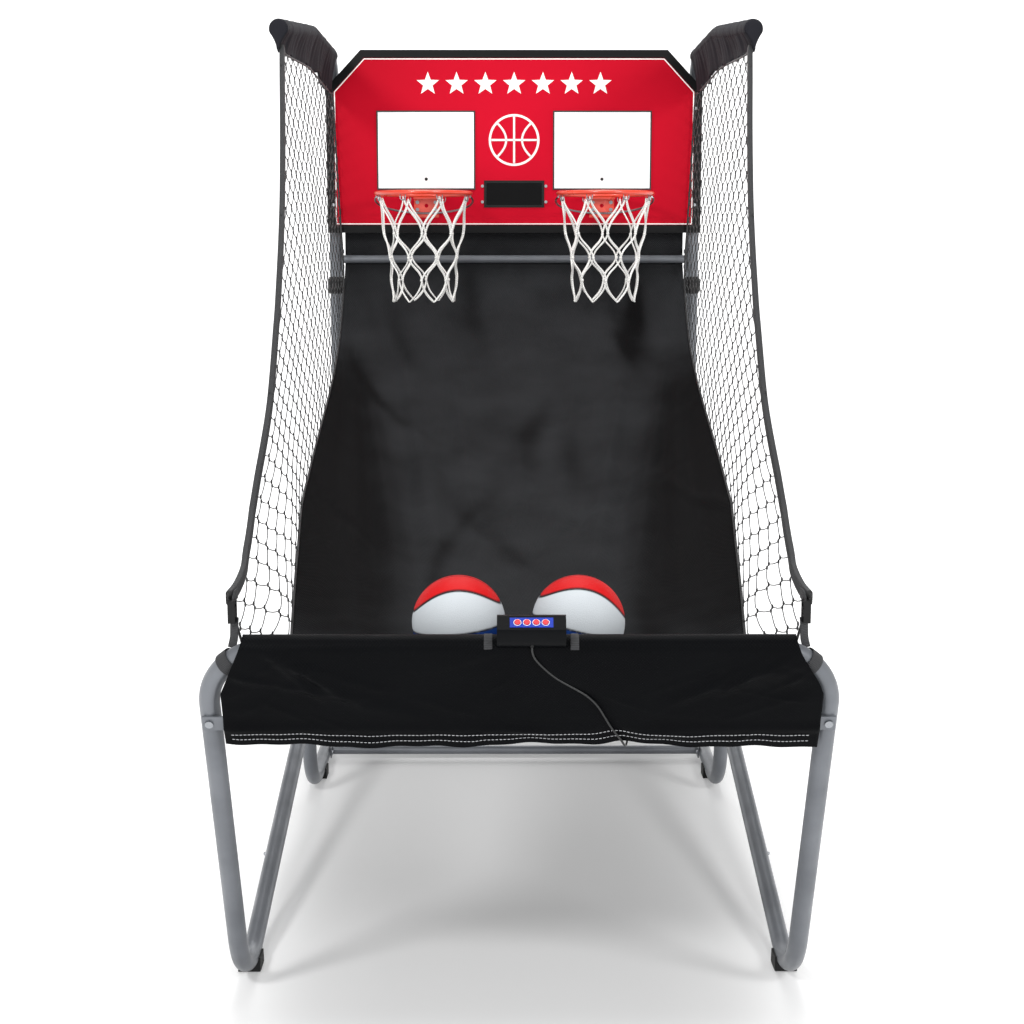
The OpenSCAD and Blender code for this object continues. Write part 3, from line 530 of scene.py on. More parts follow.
def ramp_profile():
    """Side view (Y, Z) of the return cloth: round the crossbar, down into the trough, up in
    a slack curve to the upper crossbar, then up behind it."""
    a = np.radians(np.linspace(112.3, 52, 10))
    wrap = BAR + 0.0222 * np.stack([np.cos(a), np.sin(a)], -1)
    floor = BAR + np.array([[0.060, -0.020], [0.130, -0.058], [0.185, -0.087],
                            [0.225, -0.0965]])
    t = np.linspace(0, 1, 60)
    rise = np.stack([BAR[0] + 0.256 + t * (1.2168 - BAR[0] - 0.256),
                     0.694 + 0.742 * (0.7 * t + 0.3 * t ** 8)], -1)
    back = np.array([[1.2195, 1.456], [1.2195, 1.575]])
    return smooth_path(np.concatenate([wrap, floor, rise, back]), 340, 10)


profile = ramp_profile()
run = travel(profile)
across = np.linspace(-1, 1, 141)
half = np.interp(profile[:, 0], [-1.17, -0.93, -0.30, 0.30, 0.80, 1.20],
                 [0.440, 0.440, 0.490, 0.507, 0.520, 0.530])
u = half[:, None] * across
v = np.broadcast_to(run[:, None], u.shape)
points = np.stack([u, np.broadcast_to(profile[:, :1], u.shape),
                   np.broadcast_to(profile[:, 1:], u.shape)], -1)
ramp_length = float(run[-1])
mid = np.clip((v - 0.25) / (ramp_length - 0.75), 0, 1)
belly = np.sin(np.pi * mid) ** 0.8
# The cloth sags in the middle, its edges pull up to the nets, and folds fan down from both
# upper corners to the middle of the trough
height = -0.030 * belly * (1 - across ** 2) + 0.014 * belly * across ** 6
# Beyond a line from the middle of the trough to each upper corner the side panel turns up
crease_line = 0.215 + 0.245 * mid ** 1.15
past = 0.018 * np.log1p(np.exp((np.abs(u) - crease_line) / 0.018))
height += 0.26 * past * belly
for s in (-1, 1):
    for k, (top, low, deep) in enumerate([(0.46, 0.20, 0.017), (0.34, 0.13, 0.010),
                                          (0.49, 0.33, 0.013), (0.20, 0.07, 0.006)]):
        line = s * (low + (top - low) * mid ** (1.1 + 0.2 * k))
        wide = 0.012 + 0.030 * (1 - mid)
        height += deep * belly * np.exp(-((u - line) / wide) ** 2)
        height -= 0.6 * deep * belly * np.exp(-((u - line - s * 1.9 * wide) / wide) ** 2)
height += creases(u, v, 5, 60, 0.34, 0.024, 0.0060, (0.9, 2.2)) * belly
height += 0.0012 * np.sin(v * 90 + 3 * np.sin(u * 7)) * np.exp(-((mid - 0.05) / 0.1) ** 2)
points = points - normals_of(points) * height[..., None]
cloth_edges = {-1: points[:, 0], 1: points[:, -1]}
return_cloth = cloth("return_cloth", points, RAMP_CLOTH, 0.0014, np.stack([u, v], -1))
# Painted shade for the side panels: 0 in the middle of the cloth, rising to 1 beyond the crease
# lines where the sag is deep, plus scattered slanting streaks; the material darkens the cloth
# where it is high
side_shade = 1 / (1 + np.exp(-(np.abs(u) - crease_line) / 0.022))
side_shade = side_shade * np.clip(belly * 1.6, 0, 1) + 0.5 * creases(u, v, 6, 30, 0.5, 0.05, 1.0,
                                                          (1.1, 2.0)) ** 2
return_cloth.data.attributes.new("side_shade", "FLOAT", "POINT").data.foreach_set(
    "value", np.clip(side_shade, 0, 1).ravel().astype(np.float32))
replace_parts(return_cloth, "ramp_cloth", "trough_cloth")
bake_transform(return_cloth)


# ---- Apron ----

def apron_surface():
    """The apron in the leaning leg frame: a quarter turn over the crossbar, then a skirt
    that leans out to the hem, whose foot waves. Rows run from the top to the hem."""
    a = np.radians(np.linspace(62, 180, 16))
    over = 0.0232 * np.stack([np.cos(a), np.sin(a)], -1)
    skirt = np.array([[-0.0240, -0.010], [-0.0262, -0.060], [-0.0278, -0.125],
                      [-0.0282, -0.160], [-0.0272, -0.197]])
    line = smooth_path(np.concatenate([over, skirt]), 150, 3)
    run = travel(line)
    s, w = np.meshgrid(np.linspace(-1, 1, 321), run)
    y = np.broadcast_to(line[:, :1], s.shape).copy()
    z = np.broadcast_to(line[:, 1:], s.shape).copy()
    half = np.minimum(0.531, 0.486 + (0.026 - z) * 0.42)
    x = s * half + 0.010 * np.clip(-z / 0.06, 0, 1) * np.clip(s, 0, 1)
    down = np.clip(-z / 0.195, 0, 1)
    z += down ** 3 * (0.0045 * np.sin(x * 9.5 + 0.6) + 0.0025 * np.sin(x * 31 + 1.1)
                      + 0.0012 * np.sin(x * 77))
    folds = creases(x, w, 11, 52, 0.17, 0.017, 0.0078, (-0.55, 0.55))
    folds += creases(x, w, 12, 40, 0.08, 0.009, 0.0042, (-0.9, 0.9))
    for side in (-1, 1):
        for reach, slope, deep in ((0.20, 0.62, 0.0085), (0.27, 0.40, 0.0060),
                                   (0.14, 0.95, 0.0050)):
            line = (w - 0.035) - slope * np.clip(0.455 - side * x, 0, 1)
            along = np.clip((0.47 - side * x) / reach, 0, 1)
            folds += deep * np.sin(np.pi * along) * np.exp(-(line / 0.012) ** 2)
    folds += 0.0022 * np.sin(x * 24 + 2.2 * np.sin(w * 14)) * np.sin(np.pi * down)
    ease = np.clip((0.02 - z) / 0.05, 0, 1) * np.clip((w[-1, 0] - w) / 0.02, 0.25, 1)
    edge = np.clip((half - np.abs(x)) / 0.03, 0, 1)
    folds = 0.0025 * np.log1p(np.exp(folds / 0.0025))
    # The cord lies on the cloth, keeps it flat and presses it back
    height = BAR[1] + y * np.sin(LEAN) + z * np.cos(LEAN)
    cord_x = np.interp(height, CORD_ROUTE[21::-1, 2], CORD_ROUTE[21::-1, 0])
    calm = 1 - np.exp(-((x - cord_x) / 0.030) ** 2)
    y -= (folds * calm + 0.0010) * ease * (0.4 + 0.6 * edge)
    y -= 0.0035 * np.exp(-((z + 0.157) / 0.010) ** 2) * calm
    y += 0.0055 * (1 - calm) * np.clip((-z - 0.05) / 0.06, 0, 1)
    return x, y, z, w


x, y, z, w = apron_surface()
apron_points = leg_to_world(x, y, z)
apron_cloth = cloth("apron_cloth", apron_points, APRON_CLOTH, 0.0016, np.stack([x, w], -1))
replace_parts(apron_cloth, "apron")
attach(apron_cloth, "front_frame")


def stitches(row, cols, grid, lift, length, gap_length):
    """Paths of short threads laid along one row of a grid of points, each lifted off the
    cloth by lift."""
    line = grid[row] + normals_of(grid)[row] * lift
    line = smooth_path(line[cols], 1600, 0)
    step = np.linalg.norm(line[1] - line[0])
    pitch, on = int((length + gap_length) / step), int(length / step)
    starts = np.arange(0, len(line) - on - 1, max(pitch, on + 1))
    return np.stack([line[k:k + on + 1][np.linspace(0, on, 4).astype(int)] for k in starts])


seams = []
for depth in (0.1655, 0.1790):
    row = int(np.argmin(np.abs(z[:, 160] + depth)))
    seams.append(stitches(row, slice(4, -4), apron_points, 0.0017, 0.0052, 0.0022))
apron_stitching = tubes("apron_stitching", np.concatenate(seams), 0.0007, THREAD,
                        "front_frame", 5)


# ---- Arm sleeves ----

def sleeve_section(depth, r):
    """Half-open drop: three quarters of a circle of radius r, then both walls drawn
    together down to a hem depth below the axis. Returns (rows, cols, 2) as (X, Z)."""
    a = np.radians(np.linspace(205, -25, 34))
    arc = np.stack([np.cos(a), np.sin(a)], -1) * r
    t = np.linspace(0, 1, 15)[1:]
    depth = np.asarray(depth)[:, None]
    start_x, start_z = r * np.cos(np.radians(25)), -r * np.sin(np.radians(25))
    wall_x = start_x * (1 - t) ** 1.7 + 0.0032 * (1 - (1 - t) ** 1.7)
    wall_z = start_z + (-depth - start_z) * t
    right = np.stack(np.broadcast_arrays(wall_x, wall_z), -1)
    left = right[:, ::-1] * [-1, 1]
    return np.concatenate([np.broadcast_to(arc, (len(depth), *arc.shape)), right, left], 1)


def arm_sleeve(name, side):
    """Cloth sleeve along an arm: the drop section carried along the arm's centre line, with
    gathers as waves along it that grow towards the hem, and the end at the arm's tip drawn in."""
    arm = smooth_path([[TIP[0] - 0.012, TIP[1] - 0.0012], [KNEE_Y - 0.011, ARM_Z],
                       [UPRIGHT_Y - 0.062, ARM_Z - 0.001]], 420, 8)
    along = travel(arm)
    depth = np.interp(arm[:, 0], [-0.032, 0.0, 0.061, 0.539, 1.054, 1.142],
                      [0.046, 0.052, 0.058, 0.086, 0.116, 0.097])
    section = sleeve_section(depth, TUBE_R + 0.0036)
    rows, cols = section.shape[:2]
    lower = np.clip(-section[..., 1] / 0.10, 0, 1)
    rng = np.random.default_rng(31 if side > 0 else 32)
    s = along[:, None]
    waves = sum(h * np.sin(s * f + p + 1.3 * np.sin(s * g)) for h, f, p, g in zip(
        (0.0020, 0.0014, 0.0009), (46, 83, 151), rng.uniform(0, 6, 3), (5, 9, 13)))
    out = unit(section * [1, 0.4])
    section = section + out * (waves * (0.25 + 1.3 * lower))[..., None]
    section[..., 0] += 0.006 * lower * np.sin(s * 21 + (1 if side > 0 else 4))
    section[..., 1] += 0.004 * lower ** 2 * np.sin(s * 33 + 2)
    ends = np.clip(np.minimum(along, along[-1] - along) / 0.005, 0, 1)
    shrink = (0.80 + 0.20 * np.sqrt(1 - (1 - ends) ** 2))[:, None, None]
    section = section * np.where(along[:, None, None] < 0.5, shrink, 1.0)
    points = np.stack([side * HALF_W + section[..., 0],
                       np.broadcast_to(arm[:, :1], section.shape[:2]),
                       arm[:, 1:] + section[..., 1]], -1)
    faces = grid_faces(rows, cols, False, True).tolist()
    faces += [list(range(cols)), list(range((rows - 1) * cols, rows * cols))]
    girth = np.cumsum(np.linalg.norm(np.diff(section[200], axis=0, prepend=section[200][:1]),
                                     axis=1))
    uv = np.stack(np.broadcast_arrays(girth[None], along[:, None]), -1)
    return weld_normals(piece(name, points, faces, SLEEVE_CLOTH, "rear_frame",
                              uv.reshape(-1, 2)))


for name, side in (("arm_sleeve_left", -1), ("arm_sleeve_right", 1)):
    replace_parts(arm_sleeve(name, side), "arm_sleeves")


# ---- Side nets ----

NET_EDGE = np.array([[-1.158, 0.872], [-1.110, 0.872], [-1.015, 0.892], [-0.830, 0.990],
                     [-0.620, 1.168], [-0.430, 1.350], [-0.240, 1.595], [-0.109, 1.790],
                     [-0.006, 1.952]])
NET_TOP = np.array([[0.051, 1.946], [0.250, 1.955], [0.539, 1.968], [1.054, 1.950],
                    [1.140, 1.955]])
NET_REAR = np.array([[1.144, 1.700], [1.142, 1.372]])


def net_foot(side):
    """Y, Z and X along the edge of the return cloth on one side, front to rear, where the
    net is tied to it."""
    edge = cloth_edges[side]
    edge = edge[(edge[:, 1] > -1.11) & (edge[:, 1] < 1.141)]
    return edge[:, 1], edge[:, 2] + 0.002, np.abs(edge[:, 0]) + 0.0005


def net_x(y, z, foot):
    """Distance of the net from the middle: its tilt less a shallow belly, drawn in to the
    cloth's edge by a Gaussian of the height above it, and bowed out above the buckle."""
    belly = 0.012 * np.sin(np.pi * np.clip((y + 1.1) / 2.2, 0, 1)) * np.sin(
        np.pi * np.clip((z - 0.75) / 1.2, 0, 1))
    hang = 0.529 + (z - 1.3696) * 0.0410 - belly
    tied = np.exp(-((z - np.interp(y, foot[0], foot[1])) / 0.16) ** 2)
    tied = tied * np.clip((y + 1.16) / 0.26, 0, 1) ** 1.5
    bow = 0.015 * np.exp(-((z - 0.97) / 0.12) ** 2) * np.clip((-0.55 - y) / 0.3, 0, 1)
    return hang + (np.interp(y, foot[0], foot[2]) - hang) * tied + bow


def inside(points, outline):
    """Even-odd test of points against a closed outline, all edges at once."""
    p, q = outline, np.roll(outline, -1, 0)
    y, z = points[:, None, 0], points[:, None, 1]
    spans = (p[:, 1] > z) != (q[:, 1] > z)
    slope = (q[:, 0] - p[:, 0]) / np.where(q[:, 1] == p[:, 1], 1e-9, q[:, 1] - p[:, 1])
    return (np.sum(spans & (y < p[:, 0] + (z - p[:, 1]) * slope), 1) % 2).astype(bool)


def side_net(side):
    """Knotted net: a hexagon mesh of twine, cell by cell, with a short doubled link at each
    knot, cut to the outline of the side and tied to a rope all round."""
    foot = net_foot(side)
    low = smooth_path(np.stack(foot[:2], -1)[::-1], 70)
    outline = np.concatenate([smooth_path(NET_EDGE, 60, 2), NET_TOP, NET_REAR, low])
    wide, tall, link = 0.096, 0.026, 0.008
    cols = np.arange(-14, 14)
    rows = np.arange(-14, 70)
    c, r = np.meshgrid(cols, rows, indexing="ij")
    cy = (c * wide + (r % 2) * wide / 2).ravel()
    cz = 0.66 + (r * tall).ravel()
    knot = np.stack([cy, cz], -1)
    up = knot + [0, link]
    ends = [(knot, up), (up, knot + [wide / 2, tall]), (up, knot + [-wide / 2, tall])]

    def lean(p):
        """The mesh is pulled down towards the front corner and sways a little."""
        y, z = p[..., 0], p[..., 1]
        drop = 0.046 * np.log1p(np.exp((-0.25 - y) / 0.3))
        sway = 0.007 * np.sin(z * 9 + y * 4) + 0.005 * np.sin(y * 17 + 5 * z)
        return np.stack([y + sway, z - drop + 0.5 * sway], -1)

    a = lean(np.concatenate([e[0] for e in ends]))
    b = lean(np.concatenate([e[1] for e in ends]))
    t = np.linspace(0, 1, 5)[:, None]
    line = a[:, None] * (1 - t) + b[:, None] * t
    slack = 0.0022 * np.sin(np.pi * t[:, 0]) * (np.abs(b[:, :1] - a[:, :1]) > 0.02)
    line[..., 1] -= slack
    keep = inside((a + b) / 2, outline)
    a, b, line = a[keep], b[keep], line[keep]

    def shape(p):
        return np.stack([side * net_x(p[..., 0], p[..., 1], foot), p[..., 0], p[..., 1]], -1)

    end = "left" if side < 0 else "right"
    across = (1.0, 0.0, 0.0)
    mesh = tubes("net_mesh_" + end, shape(line), 0.0011, TWINE, None, 5, across)
    knots = shape(np.unique(np.round(np.concatenate([a, b]), 5), axis=0))
    stub = np.stack([knots - [0, 0, 0.0045], knots - [0, 0, 0.002], knots + [0, 0, 0.002],
                     knots + [0, 0, 0.0045]], 1)
    tied = tubes("net_knots_" + end, stub, np.array([0.0009, 0.0021, 0.0021, 0.0009]), TWINE,
                 None, 6, across)
    border = shape(smooth_path(np.concatenate([
        smooth_path(NET_EDGE, 60, 2)[-2:], NET_TOP, NET_REAR, low, NET_EDGE[:1]]), 300, 2))
    rope = tubes("net_rope_" + end, border[None], 0.0026, TWINE, None, 8, across)
    edge = smooth_path(NET_EDGE, 160, 6)
    edge = edge + np.stack([0.004 * np.sin(np.linspace(0, 19, 160)),
                            0.003 * np.sin(np.linspace(0, 27, 160))], -1)
    edge = shape(edge)
    inward = np.stack([np.zeros(160), np.gradient(edge[:, 2]), -np.gradient(edge[:, 1])], -1)
    hem = band("net_binding_" + end, edge, unit(inward), 0.026, 0.0115, BINDING, None)
    for obj in (mesh, tied, rope, hem):
        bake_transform(obj)
    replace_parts(mesh, "side_nets")


side_net(-1)
side_net(1)


# ---- Hoop nets ----

def hoop_net(name, x0):
    """Braided net: from each of eight hooks two doubled cords run down and apart, cross
    their neighbours at three rows of knots and close in round loops at the foot. A cord's
    angle goes in half-pitch steps, eased at each knot, and its radius follows the taper."""
    hooks, steps = 8, 4
    levels = np.array([-0.012, -0.118, -0.188, -0.254, -0.318])
    radii = np.array([0.138, 0.118, 0.106, 0.098, 0.095])
    t = np.linspace(0, steps, 90)
    z = np.interp(t, np.arange(5), levels)
    r = np.interp(t, np.arange(5), radii) - 0.004 * np.sin(np.pi * (t % 1)) ** 2
    frac = t % 1
    eased = np.floor(t) + frac - 0.10 * np.sin(2 * np.pi * frac)
    last = np.clip(t - (steps - 1), 0, 1)
    # The last half pitch bends round into its neighbour, so the foot reads as a loop
    z = np.where(t > steps - 1, levels[3] + (levels[4] - levels[3]) * np.sin(last * np.pi / 2),
                 z)
    pitch = 2 * np.pi / hooks
    paths = []
    rng = np.random.default_rng(7 if x0 < 0 else 8)
    sway = rng.uniform(-1, 1, (hooks, 3))
    for k in range(hooks):
        for s in (-1, 1):
            for twin in (-1, 1):
                angle = np.pi / 8 + k * pitch + s * pitch / 2 * eased
                drift = 0.035 * np.sin(t * 1.4 + sway[k, 0]) * (t / steps)
                gap_z = twin * 0.0022 * (0.35 + 0.65 * np.abs(np.sin(np.pi * frac)))
                rr = r + s * 0.0016 * np.cos(np.pi * t) + 0.5 * gap_z
                angle = angle + drift + twin * 0.013 * np.abs(np.sin(np.pi * frac))
                paths.append(np.stack([x0 + rr * np.cos(angle), RIM_Y + rr * np.sin(angle),
                                       RIM_Z + z + 0.3 * gap_z], -1))
    paths = np.stack(paths)
    out = paths - [x0, RIM_Y, 0]
    out[..., 2] = 0
    net = tubes(name, paths, 0.0021, NET_CORD, "rear_frame", 6, unit(out))
    # Knots: short thick turns where cords cross
    stubs = []
    for level in (1, 2, 3):
        angle = np.pi / 8 + np.arange(hooks) * pitch + (level % 2) * pitch / 2
        angle = angle + 0.035 * np.sin(level * 1.4 + sway[:, 0]) * (level / steps)
        z0, r0 = levels[level], radii[level]
        for dz in (-0.0045, 0.0, 0.0045):
            stubs.append(np.stack([x0 + r0 * np.cos(angle), RIM_Y + r0 * np.sin(angle),
                                   np.full(hooks, RIM_Z + z0 + dz)], -1))
    stubs = np.stack(stubs).reshape(3, 3, hooks, 3).transpose(0, 2, 1, 3).reshape(-1, 3, 3)
    tubes(name + "_knots", stubs, np.array([0.0030, 0.0048, 0.0030]), NET_CORD, "rear_frame",
          8, (0.3, 1.0, 0.0))
    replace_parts(net, "hoop_nets")


hoop_net("hoop_net_left", -RIM_X)
hoop_net("hoop_net_right", RIM_X)


def rim_hooks(name, x0):
    """Wire hooks under a rim: eight U shapes, each a half circle between two short legs."""
    a = np.linspace(0, np.pi, 13)
    hook_r = 0.1395
    u_shape = np.stack([0.0085 * np.cos(a), -0.011 - 0.0085 * np.sin(a)], -1)
    u_shape = np.concatenate([[[0.0085, -0.002]], u_shape, [[-0.0085, -0.002]]])
    turn = np.pi / 8 + np.arange(8) * np.pi / 4
    round_dir = np.stack([-np.sin(turn), np.cos(turn), np.zeros(8)], -1)
    centre = np.stack([x0 + hook_r * np.cos(turn), RIM_Y + hook_r * np.sin(turn),
                       np.full(8, RIM_Z - 0.003)], -1)
    paths = (centre[:, None] + u_shape[None, :, :1] * round_dir[:, None]
             + u_shape[None, :, 1:] * np.array([0, 0, 1.0]))
    out = np.broadcast_to((centre - [x0, RIM_Y, RIM_Z])[:, None], paths.shape)
    tubes(name, paths, 0.0016, ZINC, "rear_frame", 8, out)


rim_hooks("rim_hooks_left", -RIM_X)
rim_hooks("rim_hooks_right", RIM_X)


# ---- Board print ----

INK = 0.0006                                       # thickness of the printed layers
TARGET_OUT, TARGET_IN, TARGET_Z = (0.303, 0.238), (0.2945, 0.2295), 1.787
BEZEL_OUT, BEZEL_IN, BEZEL_Z = (0.186, 0.082), (0.171, 0.067), 1.655
STAR_PITCH, STAR_Z, STAR_R = 0.088, 1.986, 0.036
BADGE_Z, BADGE_OUT, BADGE_IN = 1.818, 0.078, 0.071


def flat_shape(name, outline, thick, material, hole=None):
    """A thin layer of ink or film on the board: an outline in X and Z, or the strip between
    it and an inner outline with as many corners, from the board forwards by thick."""
    y = BOARD_FRONT
    outline = np.asarray(outline, float)
    n = len(outline)

    def at(shape, depth):
        return np.stack([shape[:, 0], np.full(len(shape), depth), shape[:, 1]], -1)

    if hole is None:
        verts = np.concatenate([at(outline, y - thick), at(outline, y)])
        faces = [list(range(n)), list(range(2 * n - 1, n - 1, -1))]
        faces += [[i, (i + 1) % n, n + (i + 1) % n, n + i] for i in range(n)]
    else:
        verts = np.concatenate([at(outline, y - thick), at(hole, y - thick),
                                at(hole, y), at(outline, y)])
        faces = grid_faces(4, n, True, True).tolist()
    return weld_normals(piece(name, verts, faces, material, "rear_frame", smooth=False))


def board_outline(inset):
    """The board's hexagon with clipped top corners, drawn in by inset."""
    w, k = 0.577 - inset, inset * 0.414
    return np.array([[-w, BOARD_LOW + inset], [w, BOARD_LOW + inset],
                     [w, BOARD_TOP - 0.114 - k], [w - 0.108 + inset - k, BOARD_TOP - inset],
                     [-w + 0.108 - inset + k, BOARD_TOP - inset],
                     [-w, BOARD_TOP - 0.114 - k]])


def frame_outline(w, h, cx, cz):
    return np.array([[cx - w / 2, cz - h / 2], [cx + w / 2, cz - h / 2],
                     [cx + w / 2, cz + h / 2], [cx - w / 2, cz + h / 2]])


flat_shape("board_keyline", board_outline(0.0255), INK, WHITE_INK, board_outline(0.0285))
for s, side in ((-1, "left"), (1, "right")):
    flat_shape("target_line_" + side, frame_outline(*TARGET_OUT, s * RIM_X, TARGET_Z), 0.0036,
               BLACK_INK, frame_outline(*TARGET_IN, s * RIM_X, TARGET_Z))
flat_shape("scoreboard_bezel", frame_outline(*BEZEL_OUT, 0, BEZEL_Z), 0.0022, BLACK_PLASTIC,
           frame_outline(*BEZEL_IN, 0, BEZEL_Z))


def star(cx, cz, r, inner=0.42):
    """Five-pointed star: ten corners at r and inner*r by turns."""
    a = np.pi / 2 + np.arange(10) * np.pi / 5
    rr = np.where(np.arange(10) % 2 == 0, r, inner * r)
    return np.stack([cx + rr * np.cos(a), cz + rr * np.sin(a)], -1)


for k in range(7):
    flat_shape(f"board_star_{k + 1}", star((k - 3) * STAR_PITCH, STAR_Z, STAR_R), INK,
               WHITE_INK)


def ring_outline(cx, cz, r, n=64):
    a = 2 * np.pi * np.arange(n) / n
    return np.stack([cx + r * np.cos(a), cz + r * np.sin(a)], -1)


# A plain ball drawn in outline in the middle of the board
flat_shape("board_ball_ring", ring_outline(0, BADGE_Z, BADGE_OUT), INK, WHITE_INK,
           ring_outline(0, BADGE_Z, BADGE_IN))
t = np.linspace(-1, 1, 40)
seam_lines = [np.stack([0.070 * t, BADGE_Z + 0 * t], -1),
              np.stack([0 * t, BADGE_Z + 0.070 * t], -1)]
for s in (-1, 1):
    seam_lines.append(np.stack([s * (0.0245 + 0.026 * t ** 2), BADGE_Z + 0.049 * t], -1))
paths = np.stack([np.stack([seam[:, 0], np.full(40, BOARD_FRONT - 0.0003), seam[:, 1]], -1)
                  for seam in seam_lines])
weld_normals(tubes("board_ball_seams", paths, 0.0034, WHITE_INK, "rear_frame", 6,
                   (0.0, 1.0, 0.0), flat=0.10))


# ---- Balls ----

def game_ball(name, tilt, roll):
    """A ball: a sphere by latitude and longitude with its poles closed, a seam groove 1 mm
    deep along its middle, one great circle and two curves, and a panel number per corner.
    tilt turns it towards the players and roll turns it sideways."""
    lat, lon = 118, 236
    th = np.linspace(0, np.pi, lat)[:, None]
    ph = (2 * np.pi * np.arange(lon) / lon)[None, :]
    d = np.stack(np.broadcast_arrays(np.sin(th) * np.cos(ph), np.sin(th) * np.sin(ph),
                                     np.cos(th)), -1)
    cx, sx, cz, sz = np.cos(tilt), np.sin(tilt), np.cos(roll), np.sin(roll)
    turned = d @ np.array([[cz, 0, -sz], [0, 1, 0], [sz, 0, cz]]) @ np.array(
        [[1, 0, 0], [0, cx, -sx], [0, sx, cx]])
    a, b, c = turned[..., 0], turned[..., 1], turned[..., 2]
    top = c - 0.80 + 0.52 * a ** 2
    low = -c - 0.80 + 0.52 * a ** 2
    middle = c + 0.06
    dist = np.minimum.reduce([np.abs(top), np.abs(low), np.abs(middle), np.abs(b)])
    seam = np.clip(1.5 - dist / 0.021, 0, 1)
    panel = np.where((top > 0) | (low > 0), 0.0, np.where(middle < 0, 2.0, 1.0))
    groove = 0.0011 * np.exp(-(dist / 0.015) ** 2)
    centre = np.array(BALLS[name])
    verts = centre + d * (BALL_R - groove)[..., None]
    body = grid_faces(lat, lon, False, True)[:, ::-1]
    keep = np.ones(len(body), bool)
    keep[:lon] = keep[-lon:] = False
    poles = len(verts.reshape(-1, 3))
    flat = verts.reshape(-1, 3)
    corners = np.concatenate([flat, [centre + [0, 0, BALL_R], centre - [0, 0, BALL_R]]])
    j = np.arange(lon)
    j2 = (j + 1) % lon
    caps = np.concatenate([np.stack([np.full(lon, poles), lon + j, lon + j2], -1),
                           np.stack([np.full(lon, poles + 1), (lat - 2) * lon + j2,
                                     (lat - 2) * lon + j], -1)])
    used = np.unique(np.concatenate([body[keep].ravel(), caps.ravel()]))
    new = np.full(len(corners), -1)
    new[used] = np.arange(len(used))
    faces = new[body[keep]].tolist() + new[caps].tolist()
    obj = piece(name + "_rubber", corners[used], faces, BALL, None)
    weld_normals(obj)
    values = {"panel": np.append(panel.ravel(), [panel[0, 0], panel[-1, 0]])[used],
              "seam": np.append(seam.ravel(), [seam[0, 0], seam[-1, 0]])[used]}
    for key, data in values.items():
        obj.data.attributes.new(key, "FLOAT", "POINT").data.foreach_set(
            "value", data.astype(np.float32))
    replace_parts(obj, name)
    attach(obj, name)


game_ball("ball_left", 0.0, 0.10)
game_ball("ball_right", -0.05, -0.24)


# ---- Straps at the corners and on the controller ----

def corner_strap(side):
    """Webbing round the corner bend, a flat ring round the tube's axis, with its tail up
    through the buckle to the front corner of the net."""
    a = np.linspace(0, 2 * np.pi, 65)
    at = radians(41)
    tangent = np.array([np.cos(at), 0, -np.sin(at)])
    outward = np.array([np.sin(at), 0, np.cos(at)])
    forward = np.array([0, 1.0, 0])
    centre = (np.array([HALF_W - CORNER_R, 0, -CORNER_R]) + CORNER_R * outward)
    ring = centre + (TUBE_R + 0.0022) * (np.cos(a)[:, None] * outward
                                         + np.sin(a)[:, None] * forward)
    ring = leg_to_world(ring[:, 0], ring[:, 1], ring[:, 2])
    tan = leg_to_world(*(centre + tangent)) - leg_to_world(*centre)
    mirror = np.array([side, 1, 1])
    name = "left" if side < 0 else "right"
    loop = band("corner_strap_" + name, ring * mirror, tan * mirror, 0.025, 0.0018, WEBBING,
                "front_frame")
    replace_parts(loop, "corner_straps")
    origin = np.array([HALF_W - 0.0505, *BAR])
    tail = origin + [[0.004, 0.024, -0.006], [0, 0.027, 0.012], [-0.001, 0.027, 0.040],
                     [-0.002, 0.028, 0.050]]
    band("strap_tail_" + name, smooth_path(tail, 24, 2) * mirror,
         np.array([0.75, 0.66, 0]) * mirror, 0.022, 0.0022, WEBBING, "front_frame")
    upper = origin + [[-0.001, 0.028, 0.070], [0, 0.030, 0.080], [0, 0.042, 0.085],
                      [0, 0.075, 0.083]]
    band("strap_end_" + name, smooth_path(upper, 40, 3) * mirror, (0, 1, 0), 0.020, 0.0022,
         WEBBING, "front_frame")


corner_strap(-1)
corner_strap(1)

a = np.radians(np.linspace(4, 176, 60))
for s, side in ((-1, "left"), (1, "right")):
    x0 = CASE_X + s * 0.076
    arc = np.stack([np.full(60, x0), BAR[0] + 0.0246 * np.cos(a + radians(6)),
                    BAR[1] + 0.0246 * np.sin(a)], -1)
    strap = band("controller_strap_" + side, arc, (1, 0, 0), 0.015, 0.0016, WEBBING,
                 "front_frame")
    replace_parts(strap, "controller_straps")


def on_face(p):
    """Points (along X, up the label, out of it) on the controller's label face."""
    p = np.asarray(p, float)
    up = np.array([0, np.sin(FACE_DIR), -np.cos(FACE_DIR)])
    out = np.array([0, np.cos(FACE_DIR), np.sin(FACE_DIR)])
    origin = np.array([CASE_X, *CASE]) + FACE_D * out
    return origin + p[..., :1] * [1, 0, 0] + p[..., 1:2] * up + p[..., 2:] * out


# White rings printed round the four buttons
a = 2 * np.pi * np.arange(48) / 48
for i in range(4):
    ring = on_face(np.stack([(i - 1.5) * 0.0164 + 0.0064 * np.cos(a), 0.0064 * np.sin(a),
                             np.full(48, 0.0009)], -1))
    tubes(f"button_ring_{i + 1}", ring[None], 0.0006, WHITE_INK, "front_frame", 6,
          (0, np.cos(FACE_DIR), np.sin(FACE_DIR)), flat=0.4, closed=True)


# ---- Studio ----

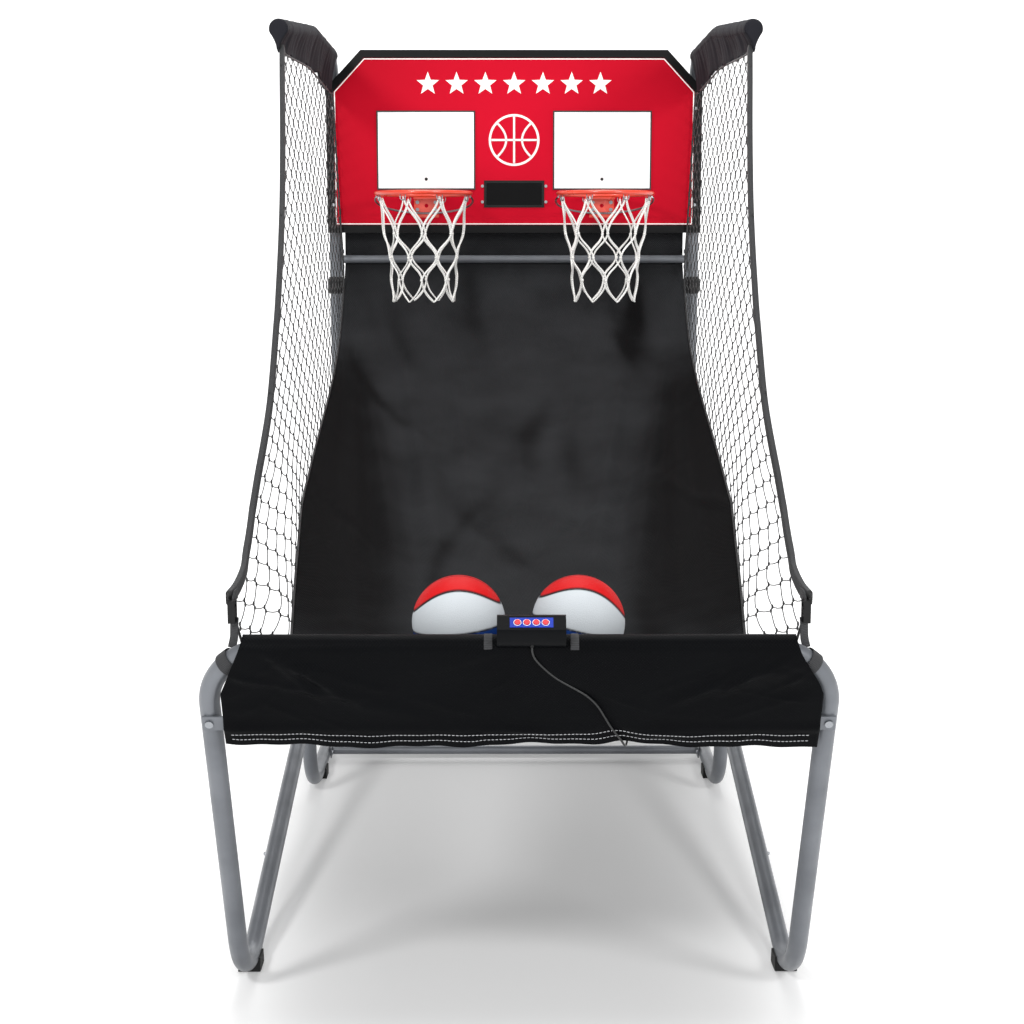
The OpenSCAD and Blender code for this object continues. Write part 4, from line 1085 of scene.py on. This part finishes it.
def studio():
    """Pale round floor that curves up into a backdrop on all sides, height going with the
    square of the distance past 9 m, and large soft lamps. The floor glows, less under the
    machine: a painted shadow."""
    r = np.concatenate([np.linspace(0.5, 9, 36), np.linspace(9.4, 22, 30)])[:, None]
    turn = (2 * np.pi * np.arange(96) / 96)[None, :]
    rise = 7.0 * np.clip((r - 9) / 13, 0, 1) ** 2 - 0.0005
    points = np.stack(np.broadcast_arrays(r * np.cos(turn), r * np.sin(turn), rise), -1)
    faces = grid_faces(66, 96, False, True)[:, ::-1].tolist() + [list(range(96))]
    material, tree, shader = finish("matt_white_paper", "#dcdcdc", 0.9, Specular_IOR_Level=0.1)
    shader.inputs["Emission Color"].default_value = (1, 1, 1, 1)
    ground = add(tree, "TexCoord").outputs["Object"]
    place_xyz = add(tree, "SeparateXYZ", {"Vector": ground}).outputs
    away = add(tree, "VectorMath", {0: ground}, operation="LENGTH")
    # The paper glows, from 0.58 near the machine to 1.03 far out, and a mask over the machine's
    # footprint cuts the glow by 0.58 there: a painted shadow under the machine
    side = add(tree, "Math", {0: place_xyz["X"]}, operation="ABSOLUTE")
    soft = [add(tree, "MapRange", {
        "Value": value, "From Min": lo, "From Max": hi, "To Min": 0.0, "To Max": 1.0},
        interpolation_type="SMOOTHERSTEP") for value, lo, hi in (
            (side, 0.80, 0.36), (place_xyz["Y"], -1.38, -0.92), (place_xyz["Y"], 1.9, 1.0))]
    painted_shadow = add(tree, "Math", {0: soft[0], 1: soft[1]}, operation="MULTIPLY")
    painted_shadow = add(tree, "Math", {0: painted_shadow, 1: soft[2]}, operation="MULTIPLY")
    far = add(tree, "MapRange", {
        "Value": away.outputs["Value"], "From Min": 2.0, "From Max": 6.0, "To Min": 0.58,
        "To Max": 1.03})
    glow = add(tree, "Math", {0: painted_shadow, 1: -0.58, 2: far}, operation="MULTIPLY_ADD")
    add(tree, shader, {"Emission Strength": glow})
    piece("studio_floor", points, faces, material)
    for name, where, size, power in (
            ("key", (-2.3, -4.0, 3.6), 0.9, 120), ("fill", (2.8, -3.8, 3.0), 1.2, 90),
            ("top", (0.0, 0.2, 5.0), 3.2, 120), ("rim", (0.0, 4.4, 3.6), 3.5, 70)):
        lamp = bpy.data.lights.new(name, "AREA")
        lamp.shape, lamp.size, lamp.energy = "DISK", size, power
        obj = bpy.data.objects.new(name, lamp)
        bpy.context.scene.collection.objects.link(obj)
        obj.location = where
        aim = np.array([0.0, -0.1, 1.0]) - np.array(where)
        obj.rotation_euler = Vector(aim.tolist()).to_track_quat("-Z", "Y").to_euler()
    world = bpy.data.worlds.new("studio")
    bpy.context.scene.world = world
    world.use_nodes = True
    world.node_tree.nodes["Background"].inputs["Color"].default_value = (1, 1, 1, 1)
    world.node_tree.nodes["Background"].inputs["Strength"].default_value = 0.42
    bpy.context.scene.view_settings.view_transform = "Standard"


studio()
